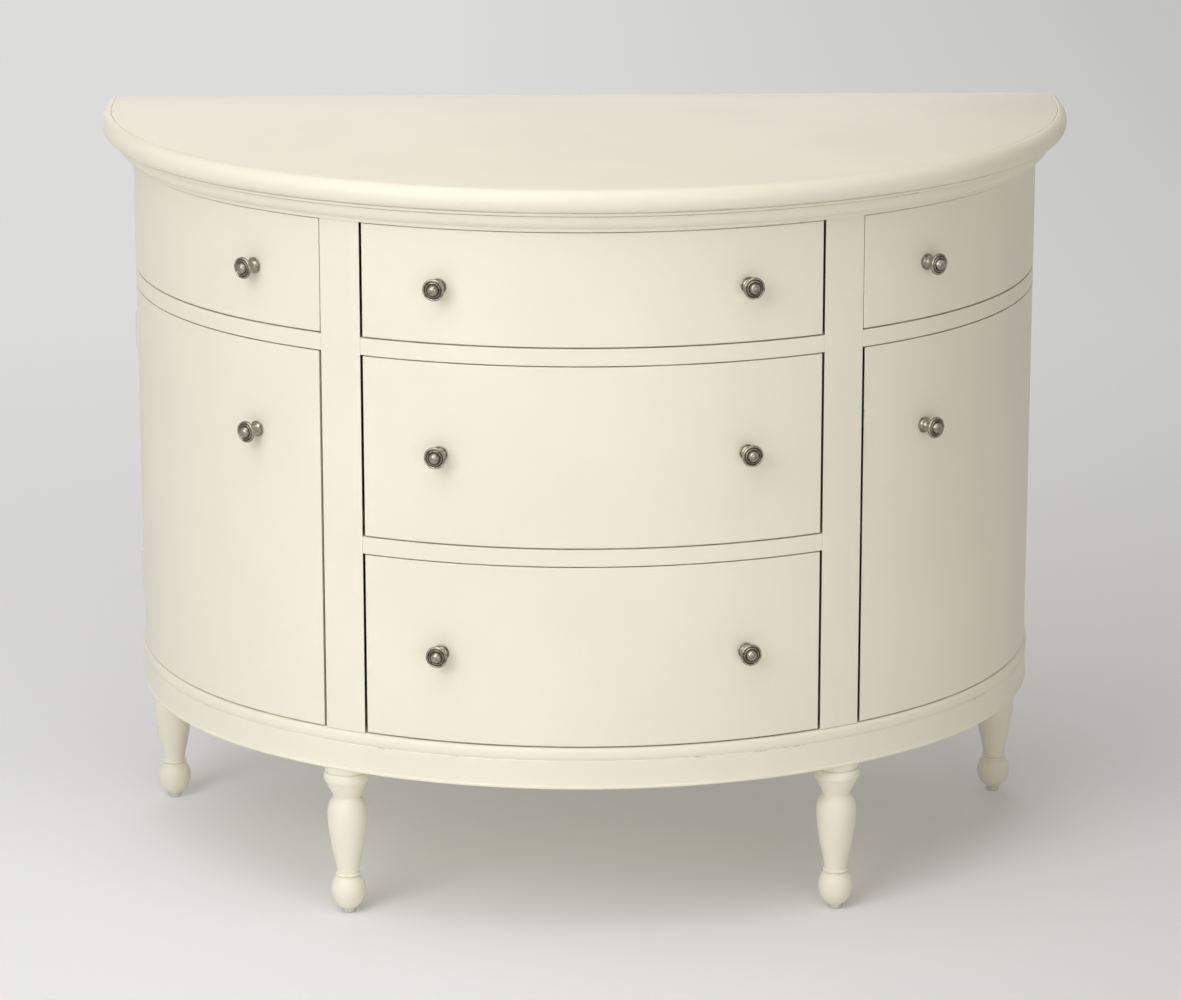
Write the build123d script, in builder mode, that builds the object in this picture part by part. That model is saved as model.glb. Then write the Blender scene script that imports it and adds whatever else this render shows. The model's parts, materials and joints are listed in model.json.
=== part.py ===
from build123d import *
import os
from math import acos, asin, cos, degrees, radians, sin, sqrt

os.makedirs("parts", exist_ok=True)

# A half-moon sideboard in painted wood. Millimetres, +Z up, floor at z = 0.
# +X is to the right seen from the front, and the front bows towards -Y.
# The pieces are drawn with the flat back in the plane y = 0, and written with
# the origin on the floor under the middle of the top.

# Case plan: straight ends at the back, then side arcs, then one front arc
case_half_width = 556.0
case_depth = 560.0
side_straight = 60.0
blend_angle = 40.0

# Heights of the front, from the floor up
leg_height = 187.0
apron_height = 50.0
front_gap = 1.5
lower_drawer_height = 217.0
middle_drawer_height = 215.0
upper_drawer_height = 134.0
rail_height = 20.0
top_moulding_height = 55.0

# Front frame
side_bay_width = 288.0
stile_width = 46.0
stile_thickness = 24.0
drawer_side_gap = 3.0
side_drawer_gap = 1.2
door_free_gap = 3.0
front_thickness = 20.0

# Case boards
panel_thickness = 18.0
back_thickness = 8.0
frame_thickness = 20.0
post_depth = 50.0
curve_clearance = 0.1
overrun = 30.0

# Top panel and the moulding round it, outwards from the case face
top_thickness = 18.0
top_panel_grow = 26.0
top_seam = 0.8
bull_reach = 11.0
bull_height = 28.0
bead_inset = 4.0
bead_height = 5.0
cove_top_inset = 7.0
cove_height = 14.0
lip_grow = 4.0
lip_height = 5.0

# Base moulding, outwards from the case face
apron_face_grow = 1.5
apron_bead_grow = 3.2
apron_bead_height = 16.0
apron_groove = 0.6
apron_foot_grow = 2.8
apron_foot_height = 4.0
corner_block_size = 64.0
back_rail_thickness = 20.0

# Turned legs
front_leg_offset = 23.5
front_leg_inset = 25.0
back_leg_inset = 29.0
back_leg_y = 30.0
leg_collar_radius = 26.0
leg_collar_height = 8.0
leg_ring_height = 13.0
leg_ring_reach = 1.8
leg_groove = 1.2
leg_cup_height = 20.0
leg_neck_radius = 16.5
leg_neck_slope_share = 0.6
leg_shoulder_radius = 24.0
leg_shoulder_drop = 20.0
leg_belly_radius = 21.4
leg_belly_drop = 50.0
leg_shank_radius = 15.4
leg_shank_drop = 80.0
leg_waist_radius = 13.6
leg_waist_bead_height = 3.6
leg_waist_bead_reach = 1.6
leg_ball_radius = 21.0
leg_ball_rise = 21.5
leg_ball_z = 30.0
leg_sole_radius = 9.5
glide_height = 6.0
glide_radius = 8.5
glide_edge = 1.5

# Drawer boxes in the middle
box_side_gap = 18.0
box_wall = 12.0
box_back_gap = 22.0
box_raise = 8.0
box_drop = 26.0
bottom_thickness = 6.0
bottom_lift = 10.0
bottom_groove = 5.0
groove_clearance = 0.2
slide_gap = 0.3
runner_width = 12.0
runner_guide_gap = 1.0
runner_guide_height = 14.0

# Side drawers, which slide along the axis of their knob
side_knob_angle = 40.5
side_box_clearance = 3.0
side_box_reach = 165.0
side_runner_thickness = 15.0
side_guide_gap = 1.0
side_guide_width = 12.0
side_guide_height = 7.0

# Shelves in the two cupboards
shelf_thickness = 18.0
shelf_setback = 10.0
shelf_top_drop = 218.0
cleat_size = 18.0
cleat_end_gap = 45.0
cleat_front_gap = 167.0

# Butt hinges at the back edge of each door
hinge_length = 50.0
hinge_spread = 310.0
hinge_gap = 2.4
hinge_leaf_thickness = 1.0
hinge_leaf_width = 15.0
hinge_barrel_radius = 3.0
hinge_barrel_out = 1.2
hinge_pin_radius = 1.5
hinge_running_gap = 0.05
hinge_relief = 0.4
hinge_knuckle_count = 5
hinge_knuckle_gap = 0.3

# Magnetic catch under each shelf, set off from the partition, and clear of the door by the
# thickness of its plate and a little more
catch_offset = 82.5
catch_width = 40.0
catch_depth = 28.0
catch_height = 14.0
catch_gap = 2.0

# Knobs
drawer_knob_angle = 17.0
door_knob_drop = 108.0
knob_seat = 0.05
knob_base_radius = 9.5
knob_base_height = 2.0
knob_step_radius = 7.5
knob_step_height = 1.8
knob_neck_radius = 4.0
knob_neck_z = 9.5
knob_flare_radius = 7.0
knob_flare_z = 15.5
knob_rim_radius = 13.0
knob_rim_z = 18.0
knob_rim_height = 4.0
knob_groove_radius = 10.8
knob_groove_depth = 0.9
knob_dome_radius = 9.6
knob_dome_rise = 4.5

# Sizes that follow from the driving ones
bow_depth = case_depth - side_straight
radius_step = (case_half_width - bow_depth) / (cos(radians(blend_angle)) + sin(radians(blend_angle)) - 1)
side_centre_x = radius_step * sin(radians(blend_angle))
side_radius = case_half_width - side_centre_x
front_radius = side_radius + radius_step
front_centre_y = front_radius - case_depth

base_top = leg_height + apron_height
lower_drawer_z = base_top + front_gap
lower_rail_z = lower_drawer_z + lower_drawer_height + front_gap
middle_drawer_z = lower_rail_z + rail_height + front_gap
upper_rail_z = middle_drawer_z + middle_drawer_height + front_gap
upper_drawer_z = upper_rail_z + rail_height + front_gap
moulding_z = upper_drawer_z + upper_drawer_height + front_gap
overall_height = moulding_z + top_moulding_height
origin_shift = (case_depth + top_panel_grow + bull_reach) / 2
top_panel_z = overall_height - top_thickness
door_height = upper_rail_z - front_gap - lower_drawer_z
shelf_z = upper_rail_z - shelf_top_drop - shelf_thickness

stile_inner_x = case_half_width - side_bay_width
stile_angle = degrees(asin((stile_inner_x + stile_width) / front_radius))
door_angle = stile_angle + degrees(door_free_gap / front_radius)
side_drawer_angle = stile_angle + degrees(side_drawer_gap / front_radius)
partition_x = stile_inner_x + panel_thickness
post_x = case_half_width - frame_thickness
door_back_y = post_depth + hinge_gap
hinge_axis_x = case_half_width + hinge_barrel_out
hinge_axis_y = -post_depth - hinge_gap / 2
hinge_relief_radius = hinge_barrel_radius + hinge_relief
hinge_middle = lower_drawer_z + door_height / 2
hinge_heights = [hinge_middle - hinge_spread / 2, hinge_middle + hinge_spread / 2]
drawer_half_width = stile_inner_x - drawer_side_gap
box_half_width = stile_inner_x - box_side_gap
box_back_y = back_thickness + box_back_gap

SIDES = {"left": -1, "right": 1}


def surface_point(angle, grow=0.0):
    """The point of the plan curve whose outward normal is turned by angle from the front."""
    turn = radians(angle)
    if abs(angle) <= blend_angle:
        radius = front_radius + grow
        return radius * sin(turn), front_centre_y - radius * cos(turn)
    radius = side_radius + grow
    centre_x = side_centre_x if angle > 0 else -side_centre_x
    return centre_x + radius * sin(turn), -side_straight - radius * cos(turn)


def surface_angle(x):
    """How far the plan curve's normal is turned from the front where it passes x."""
    if x <= front_radius * sin(radians(blend_angle)):
        return degrees(asin(x / front_radius))
    return degrees(asin((x - side_centre_x) / side_radius))


def surface_plane(angle, z, grow=0.0):
    """A plane on the case face, with its normal outwards and its x axis level."""
    x, y = surface_point(angle, grow)
    turn = radians(angle)
    return Plane(origin=(x, y, z), x_dir=(cos(turn), sin(turn), 0), z_dir=(sin(turn), -cos(turn), 0))


def plan_region(grow=0.0, back=0.0, mode=Mode.ADD):
    """Add the plan of the case, grown outwards, as a face that ends at y = back."""
    half = case_half_width + grow
    side_arc = 90 - blend_angle
    with BuildLine() as outline:
        Line((-half, back), (-half, -side_straight))
        CenterArc((-side_centre_x, -side_straight), side_radius + grow, 180, side_arc)
        CenterArc((0, front_centre_y), front_radius + grow, 270 - blend_angle, 2 * blend_angle)
        CenterArc((side_centre_x, -side_straight), side_radius + grow, 270 + blend_angle, side_arc)
        Line((half, -side_straight), (half, back))
        Line((half, back), (-half, back))
    make_face(outline.edges(), mode=mode)


def plan_band(outer, inner):
    """Add the curved strip of the plan between two offsets from the case face."""
    plan_region(outer)
    plan_region(inner, back=overrun, mode=Mode.SUBTRACT)


def keep_polygon(points):
    """Keep only what lies inside a polygon."""
    with BuildLine() as outline:
        Polyline(*points, close=True)
    make_face(outline.edges(), mode=Mode.INTERSECT)


def keep_centre(half_width, front_y=-case_depth - overrun, back_y=0.0):
    """Keep a strip centred on the case, between two depths."""
    keep_polygon(
        [(-half_width, front_y), (half_width, front_y), (half_width, back_y), (-half_width, back_y)]
    )


def front_arc_point(radius, angle):
    """A point of a circle about the centre of the front arc."""
    return radius * sin(radians(angle)), front_centre_y - radius * cos(radians(angle))


def keep_side(side, angle, back_y, thickness):
    """Keep one side of the front, from a radial cut at angle to a straight cut at y = -back_y."""
    inner_x, inner_y = front_arc_point(front_radius - thickness - overrun, angle)
    outer_x, outer_y = front_arc_point(front_radius + overrun, angle)
    far_x = case_half_width + overrun
    keep_polygon(
        [
            (side * inner_x, inner_y),
            (side * outer_x, outer_y),
            (side * far_x, -case_depth - overrun),
            (side * far_x, -back_y),
            (side * (case_half_width - thickness - overrun), -back_y),
        ]
    )


def save(builder, name):
    """Move a finished piece to the written origin, label it and write it to its file."""
    piece = builder.part.moved(Location((0, origin_shift, 0)))
    piece.label = name
    export_step(piece, f"parts/{name}.step")


# Moulded rings: one profile carried round the ends, side arcs and front arc
def ring(draw_profile):
    """Carry a profile of (offset from the case face, height) round the plan of the case."""
    sweeps = [
        (-side_centre_x, -side_straight, side_radius, 180, 90 - blend_angle),
        (0, front_centre_y, front_radius, 270 - blend_angle, 2 * blend_angle),
        (side_centre_x, -side_straight, side_radius, 270 + blend_angle, 90 - blend_angle),
    ]
    with BuildPart() as built:
        for centre_x, centre_y, radius, start, turn in sweeps:
            direction = (cos(radians(start)), sin(radians(start)), 0)
            normal = (sin(radians(start)), -cos(radians(start)), 0)
            with BuildSketch(Plane(origin=(centre_x, centre_y, 0), x_dir=direction, z_dir=normal)):
                draw_profile(radius)
            axis = Axis((centre_x, centre_y, 0), (0, 0, 1))
            revolve(axis=axis, revolution_arc=turn)
        for side in SIDES.values():
            end_plane = Plane(origin=(0, -side_straight, 0), x_dir=(side, 0, 0), z_dir=(0, -side, 0))
            with BuildSketch(end_plane):
                draw_profile(case_half_width)
            extrude(amount=-side * side_straight)
    return built


def top_profile(radius):
    """Bullnose edge, bead, cove and lip, with a ledge inside that carries the top panel."""
    face = radius + top_panel_grow
    bull_bottom = overall_height - bull_height
    bead_x = face - bead_inset
    bead_bottom = bull_bottom - bead_height
    cove_x = face - cove_top_inset
    lip_x = radius + lip_grow
    cove_bottom = bead_bottom - cove_height
    ledge_x = radius - frame_thickness
    with BuildLine() as outline:
        EllipticalCenterArc(
            (face, overall_height - bull_height / 2), bull_reach, bull_height / 2, 270, arc_size=180
        )
        Line((face, bull_bottom), (bead_x, bull_bottom))
        ThreePointArc(
            (bead_x, bull_bottom),
            (bead_x + bead_height / 2, bull_bottom - bead_height / 2),
            (bead_x, bead_bottom),
        )
        Line((bead_x, bead_bottom), (cove_x, bead_bottom))
        RadiusArc((cove_x, bead_bottom), (lip_x, cove_bottom), cove_height + lip_height)
        Line((lip_x, cove_bottom), (lip_x, moulding_z))
        Line((lip_x, moulding_z), (ledge_x, moulding_z))
        Line((ledge_x, moulding_z), (ledge_x, top_panel_z))
        Line((ledge_x, top_panel_z), (face, top_panel_z))
        Line((face, top_panel_z), (face, overall_height))
    make_face(outline.edges())


def apron_profile(radius):
    """Rounded bead over a groove, a flat face and a fine bead along the foot."""
    inner = radius - frame_thickness
    face = radius + apron_face_grow
    bead_bottom = base_top - apron_bead_height
    groove_bottom = bead_bottom - 2 * apron_groove
    foot_top = leg_height + apron_foot_height
    with BuildLine() as outline:
        Line((inner, base_top), (radius, base_top))
        ThreePointArc(
            (radius, base_top),
            (radius + apron_bead_grow, (base_top + bead_bottom) / 2),
            (face - apron_groove, bead_bottom),
        )
        Line((face - apron_groove, bead_bottom), (face, groove_bottom))
        Line((face, groove_bottom), (face, foot_top))
        ThreePointArc(
            (face, foot_top),
            (radius + apron_foot_grow, leg_height + apron_foot_height / 2),
            (face, leg_height),
        )
        Line((face, leg_height), (inner, leg_height))
        Line((inner, leg_height), (inner, base_top))
    make_face(outline.edges())


save(ring(top_profile), "top_edge_moulding")
save(ring(apron_profile), "apron_moulding")

# Flat boards of the case
with BuildPart() as top_panel:
    with BuildSketch(Plane.XY.offset(top_panel_z)):
        plan_region(top_panel_grow - top_seam)
    extrude(amount=top_thickness)
save(top_panel, "top_panel")

with BuildPart() as bottom_panel:
    with BuildSketch(Plane.XY.offset(base_top - panel_thickness)):
        plan_region(-frame_thickness - curve_clearance, back=-back_thickness)
    extrude(amount=panel_thickness)
save(bottom_panel, "bottom_panel")

with BuildPart() as back_panel:
    with BuildSketch(Plane.XY.offset(base_top - panel_thickness)):
        with Locations((0, -back_thickness / 2)):
            Rectangle(2 * post_x, back_thickness)
    extrude(amount=top_panel_z - base_top + panel_thickness)
save(back_panel, "back_panel")

with BuildPart() as back_rail:
    with BuildSketch(Plane.XY.offset(leg_height)):
        with Locations((0, -back_rail_thickness / 2)):
            Rectangle(2 * post_x, back_rail_thickness)
    extrude(amount=apron_height - panel_thickness)
save(back_rail, "apron_back_rail")

# Frame pieces on each side of the front
for name, side in SIDES.items():
    with BuildPart() as stile:
        with BuildSketch(Plane.XY.offset(base_top)):
            plan_band(0, -stile_thickness)
            outer_x, outer_y = front_arc_point(front_radius + overrun, stile_angle)
            back_x, back_y = front_arc_point(front_radius - stile_thickness - overrun, stile_angle)
            keep_polygon(
                [
                    (side * stile_inner_x, -case_depth - overrun),
                    (side * outer_x, outer_y),
                    (side * back_x, back_y),
                    (side * stile_inner_x, back_y),
                ]
            )
        extrude(amount=moulding_z - base_top)
    save(stile, f"stile_{name}")

    with BuildPart() as partition:
        with BuildSketch(Plane.XY.offset(base_top)):
            plan_region(-stile_thickness - curve_clearance, back=-back_thickness)
            keep_polygon(
                [
                    (side * stile_inner_x, -back_thickness),
                    (side * partition_x, -back_thickness),
                    (side * partition_x, -case_depth),
                    (side * stile_inner_x, -case_depth),
                ]
            )
        extrude(amount=top_panel_z - base_top)
    save(partition, f"partition_{name}")

    with BuildPart() as side_rail:
        with BuildSketch(Plane.XY.offset(upper_rail_z)):
            plan_band(0, -stile_thickness)
            keep_side(side, stile_angle, post_depth, stile_thickness)
        extrude(amount=rail_height)
    save(side_rail, f"side_rail_{name}")

    barrel_places = [(side * hinge_axis_x, hinge_axis_y, z) for z in hinge_heights]
    with BuildPart() as back_post:
        with BuildSketch(Plane.XY.offset(base_top)):
            plan_band(0, -frame_thickness)
            keep_polygon(
                [
                    (side * (post_x - overrun), 0),
                    (side * (case_half_width + overrun), 0),
                    (side * (case_half_width + overrun), -post_depth),
                    (side * (post_x - overrun), -post_depth),
                ]
            )
        extrude(amount=moulding_z - base_top)
        with Locations(*barrel_places):
            Cylinder(hinge_relief_radius, hinge_length + 2 * hinge_relief, mode=Mode.SUBTRACT)
    save(back_post, f"back_post_{name}")

    with BuildPart() as door_panel:
        with BuildSketch(Plane.XY.offset(lower_drawer_z)):
            plan_band(0, -front_thickness)
            keep_side(side, door_angle, door_back_y, front_thickness)
        extrude(amount=door_height)
        with Locations(*barrel_places):
            Cylinder(hinge_relief_radius, hinge_length + 2 * hinge_relief, mode=Mode.SUBTRACT)
    save(door_panel, f"door_panel_{name}")

    with BuildPart() as shelf:
        with BuildSketch(Plane.XY.offset(shelf_z)):
            plan_region(-front_thickness - shelf_setback, back=-back_thickness)
            keep_polygon(
                [
                    (side * partition_x, -back_thickness),
                    (side * case_half_width, -back_thickness),
                    (side * case_half_width, -case_depth),
                    (side * partition_x, -case_depth),
                ]
            )
        extrude(amount=shelf_thickness)
    save(shelf, f"shelf_{name}")

# Rails between the drawers in the middle
for name, rail_z in (("lower", lower_rail_z), ("upper", upper_rail_z)):
    with BuildPart() as centre_rail:
        with BuildSketch(Plane.XY.offset(rail_z)):
            plan_band(0, -stile_thickness)
            keep_centre(stile_inner_x)
        extrude(amount=rail_height)
    save(centre_rail, f"centre_rail_{name}")

# Cleats under the shelves, along the partitions and the back
with BuildPart() as shelf_cleats:
    cleat_z = shelf_z - cleat_size / 2
    side_cleat_length = case_depth - back_thickness - cleat_end_gap - cleat_front_gap
    side_cleat_y = -back_thickness - cleat_end_gap - side_cleat_length / 2
    back_cleat_x = (partition_x + post_x) / 2
    back_cleat_length = post_x - partition_x - 2 * cleat_end_gap
    with Locations(*[(side * (partition_x + cleat_size / 2), side_cleat_y, cleat_z) for side in SIDES.values()]):
        Box(cleat_size, side_cleat_length, cleat_size)
    with Locations(
        *[(side * back_cleat_x, -back_thickness - cleat_size / 2, cleat_z) for side in SIDES.values()]
    ):
        Box(back_cleat_length, cleat_size, cleat_size)
save(shelf_cleats, "shelf_cleats")

# Blocks in the corners of the base that take the legs
front_leg_x = stile_inner_x + front_leg_offset
back_leg_x = case_half_width - back_leg_inset
front_leg_angle = degrees(asin(front_leg_x / (front_radius - front_leg_inset)))
front_leg_y = front_arc_point(front_radius - front_leg_inset, front_leg_angle)[1]
leg_places = {
    "leg_front_left": (-front_leg_x, front_leg_y),
    "leg_front_right": (front_leg_x, front_leg_y),
    "leg_back_left": (-back_leg_x, -back_leg_y),
    "leg_back_right": (back_leg_x, -back_leg_y),
}
with BuildPart() as corner_blocks:
    with BuildSketch(Plane.XY.offset(leg_height)):
        with Locations(*leg_places.values()):
            Rectangle(2 * corner_block_size, 2 * corner_block_size)
        with BuildLine() as outline:
            inner_half = case_half_width - frame_thickness - corner_block_size
            Polyline(
                (-inner_half, overrun),
                (inner_half, overrun),
                (inner_half, -back_leg_y - corner_block_size),
                (case_half_width, -back_leg_y - corner_block_size),
                (case_half_width, -case_depth / 2),
                (-case_half_width, -case_depth / 2),
                (-case_half_width, -back_leg_y - corner_block_size),
                (-inner_half, -back_leg_y - corner_block_size),
                close=True,
            )
        make_face(outline.edges(), mode=Mode.SUBTRACT)
        plan_region(-frame_thickness - curve_clearance, back=-back_rail_thickness, mode=Mode.INTERSECT)
    extrude(amount=apron_height - panel_thickness)
save(corner_blocks, "corner_blocks")


# Turned legs, drawn as half sections and revolved
def leg_profile():
    """The outline of a leg from its axis: collar, ring, cup, neck, long baluster, bead and ball foot."""
    collar_bottom = leg_height - leg_collar_height
    groove_x = leg_collar_radius - leg_groove
    ring_top = collar_bottom - leg_groove
    ring_bottom = ring_top - leg_ring_height
    neck_z = ring_bottom - leg_cup_height
    waist_turn = acos(leg_waist_radius / leg_ball_radius)
    sole_turn = acos(leg_sole_radius / leg_ball_radius)
    waist_z = leg_ball_z + leg_ball_rise * sin(waist_turn)
    bead_top = waist_z + leg_waist_bead_height
    sole_z = leg_ball_z - leg_ball_rise * sin(sole_turn)
    with BuildLine() as outline:
        Polyline(
            (0, leg_height),
            (leg_collar_radius, leg_height),
            (leg_collar_radius, collar_bottom),
            (groove_x, collar_bottom),
            (groove_x, ring_top),
        )
        ThreePointArc(
            (groove_x, ring_top),
            (leg_collar_radius + leg_ring_reach, (ring_top + ring_bottom) / 2),
            (groove_x, ring_bottom),
        )
        Line((groove_x, ring_bottom), (leg_neck_radius, neck_z))
        Spline(
            (leg_neck_radius, neck_z),
            (leg_shoulder_radius, neck_z - leg_shoulder_drop),
            (leg_belly_radius, neck_z - leg_belly_drop),
            (leg_shank_radius, neck_z - leg_shank_drop),
            (leg_waist_radius, bead_top),
            tangents=((1, -leg_neck_slope_share), (0, -1)),
        )
        ThreePointArc(
            (leg_waist_radius, bead_top),
            (leg_waist_radius + leg_waist_bead_reach, (bead_top + waist_z) / 2),
            (leg_waist_radius, waist_z),
        )
        EllipticalCenterArc(
            (0, leg_ball_z),
            leg_ball_radius,
            leg_ball_rise,
            -degrees(sole_turn),
            arc_size=degrees(sole_turn + waist_turn),
        )
        Polyline(
            (leg_sole_radius, sole_z),
            (leg_sole_radius, glide_height),
            (0, glide_height),
            (0, leg_height),
        )
    make_face(outline.edges())


for name, (leg_x, leg_y) in leg_places.items():
    with BuildPart() as leg:
        with BuildSketch(Plane(origin=(leg_x, leg_y, 0), x_dir=(1, 0, 0), z_dir=(0, -1, 0))):
            leg_profile()
        revolve(axis=Axis((leg_x, leg_y, 0), (0, 0, 1)))
    save(leg, name)

with BuildPart() as foot_glides:
    with BuildSketch():
        with Locations(*leg_places.values()):
            Circle(glide_radius)
    extrude(amount=glide_height)
    fillet(foot_glides.faces().group_by(Axis.Z)[0].edges(), radius=glide_edge)
save(foot_glides, "foot_glides")


# Knobs: stepped base, waisted neck, rim, groove and domed face
def knob_profile():
    """Half section of a knob, standing on its base."""
    step_top = knob_base_height + knob_step_height
    rim_top = knob_rim_z + knob_rim_height
    dome_sphere = (knob_dome_radius**2 + knob_dome_rise**2) / (2 * knob_dome_rise)
    dome_turn = degrees(asin(knob_dome_radius / dome_sphere))
    with BuildLine() as outline:
        Polyline(
            (0, 0),
            (knob_base_radius, 0),
            (knob_base_radius, knob_base_height),
            (knob_step_radius, knob_base_height),
            (knob_step_radius, step_top),
        )
        ThreePointArc(
            (knob_step_radius, step_top), (knob_neck_radius, knob_neck_z), (knob_flare_radius, knob_flare_z)
        )
        Polyline(
            (knob_flare_radius, knob_flare_z),
            (knob_rim_radius, knob_rim_z),
            (knob_rim_radius, rim_top),
            (knob_groove_radius, rim_top),
            (knob_groove_radius, rim_top - knob_groove_depth),
            (knob_dome_radius, rim_top - knob_groove_depth),
            (knob_dome_radius, rim_top),
        )
        CenterArc((0, rim_top + knob_dome_rise - dome_sphere), dome_sphere, 90 - dome_turn, dome_turn)
        Line((0, rim_top + knob_dome_rise), (0, 0))
    make_face(outline.edges())


def knobs(places, name):
    """One or more knobs, each given by the angle and height of its place on the front."""
    with BuildPart() as built:
        for angle, z in places:
            seat = surface_plane(angle, z, knob_seat)
            with BuildSketch(Plane(origin=seat.origin, x_dir=seat.x_dir, z_dir=-seat.y_dir)):
                knob_profile()
            revolve(axis=Axis(seat.origin, seat.z_dir))
    save(built, name)


# Drawers in the middle, and the runners that carry them
centre_drawers = {
    "lower": (lower_drawer_z, lower_drawer_height),
    "middle": (middle_drawer_z, middle_drawer_height),
    "upper": (upper_drawer_z, upper_drawer_height),
}
box_front_grow = -front_thickness - curve_clearance


def box_region(half_width, front_grow, back_y):
    """Add the plan of a drawer box in the middle, up to the curved back of its front."""
    plan_region(front_grow, back=-back_y)
    keep_centre(half_width, back_y=-back_y)


for name, (drawer_z, drawer_height) in centre_drawers.items():
    box_z = drawer_z + box_raise
    box_height = drawer_height - box_raise - box_drop
    bottom_z = box_z + bottom_lift

    with BuildPart() as drawer_front:
        with BuildSketch(Plane.XY.offset(drawer_z)):
            plan_band(0, -front_thickness)
            keep_centre(drawer_half_width)
        extrude(amount=drawer_height)
    save(drawer_front, f"drawer_front_{name}")

    with BuildPart() as drawer_sides:
        with BuildSketch(Plane.XY.offset(box_z)):
            box_region(box_half_width, box_front_grow, box_back_y)
            with Locations((0, -case_depth / 2)):
                Rectangle(2 * (box_half_width - box_wall), 2 * case_depth, mode=Mode.SUBTRACT)
        extrude(amount=box_height)
        with BuildSketch(Plane.XY.offset(bottom_z)):
            with Locations((0, -case_depth / 2)):
                Rectangle(2 * (box_half_width - box_wall + bottom_groove), 2 * case_depth)
        extrude(amount=bottom_thickness, mode=Mode.SUBTRACT)
    save(drawer_sides, f"drawer_sides_{name}")

    with BuildPart() as drawer_back:
        back_z = bottom_z + bottom_thickness
        with BuildSketch(Plane.XY.offset(back_z)):
            with Locations((0, -box_back_y - box_wall / 2)):
                Rectangle(2 * (box_half_width - box_wall), box_wall)
        extrude(amount=box_z + box_height - back_z)
    save(drawer_back, f"drawer_back_{name}")

    with BuildPart() as drawer_bottom:
        groove_half = box_half_width - box_wall + bottom_groove - groove_clearance
        with BuildSketch(Plane.XY.offset(bottom_z)):
            box_region(groove_half, box_front_grow, box_back_y)
        extrude(amount=bottom_thickness)
    save(drawer_bottom, f"drawer_bottom_{name}")

    knob_z = drawer_z + drawer_height / 2
    knobs([(-drawer_knob_angle, knob_z), (drawer_knob_angle, knob_z)], f"drawer_knobs_{name}")

with BuildPart() as centre_runners:
    runner_height = front_gap + box_raise - slide_gap
    guide_x = box_half_width + runner_guide_gap
    ledge_x = box_half_width - runner_width
    for drawer_z, drawer_height in centre_drawers.values():
        for inner_x, piece_height in ((ledge_x, runner_height), (guide_x, runner_height + runner_guide_height)):
            with BuildSketch(Plane.XY.offset(drawer_z - front_gap)):
                for side in SIDES.values():
                    with BuildLine() as outline:
                        Polyline(
                            (side * inner_x, -back_thickness),
                            (side * stile_inner_x, -back_thickness),
                            (side * stile_inner_x, -case_depth),
                            (side * inner_x, -case_depth),
                            close=True,
                        )
                    make_face(outline.edges())
                plan_region(
                    -stile_thickness - curve_clearance, back=-back_thickness, mode=Mode.INTERSECT
                )
            extrude(amount=piece_height)
save(centre_runners, "centre_drawer_runners")

# Side drawers: a curved front on a wedge-shaped box, sliding along the knob's axis on a board
# with two guide strips, which run inside the walls of the box
slide_turn = radians(side_knob_angle)
knob_x, knob_y = surface_point(side_knob_angle)


def across(x, y):
    """How far a point of the right side lies from the knob's axis, towards the back."""
    return (x - knob_x) * cos(slide_turn) + (y - knob_y) * sin(slide_turn)


def slide_point(side, across_axis, along_axis):
    """A point given from the knob's place, across the slide and along it."""
    x = knob_x + across_axis * cos(slide_turn) + along_axis * sin(slide_turn)
    y = knob_y + across_axis * sin(slide_turn) - along_axis * cos(slide_turn)
    return side * x, y


stile_corner = front_arc_point(front_radius - stile_thickness, stile_angle)
near_edge = across(*stile_corner) + side_box_clearance
far_edge = side_box_reach
wedge_back_x = partition_x + side_box_clearance


def keep_strip(side, start, end):
    """Keep a strip that runs along the slide, between two distances from the knob's axis."""
    keep_polygon(
        [
            slide_point(side, start, case_depth),
            slide_point(side, end, case_depth),
            slide_point(side, end, -case_depth),
            slide_point(side, start, -case_depth),
        ]
    )


def wedge(side, grow, start, end, back_x):
    """Add the plan of the wedge between the curved front and the partition."""
    plan_region(grow, back=-back_thickness)
    keep_strip(side, start, end)
    keep_polygon(
        [
            (side * back_x, 0),
            (side * case_half_width, 0),
            (side * case_half_width, -case_depth),
            (side * back_x, -case_depth),
        ]
    )


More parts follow.
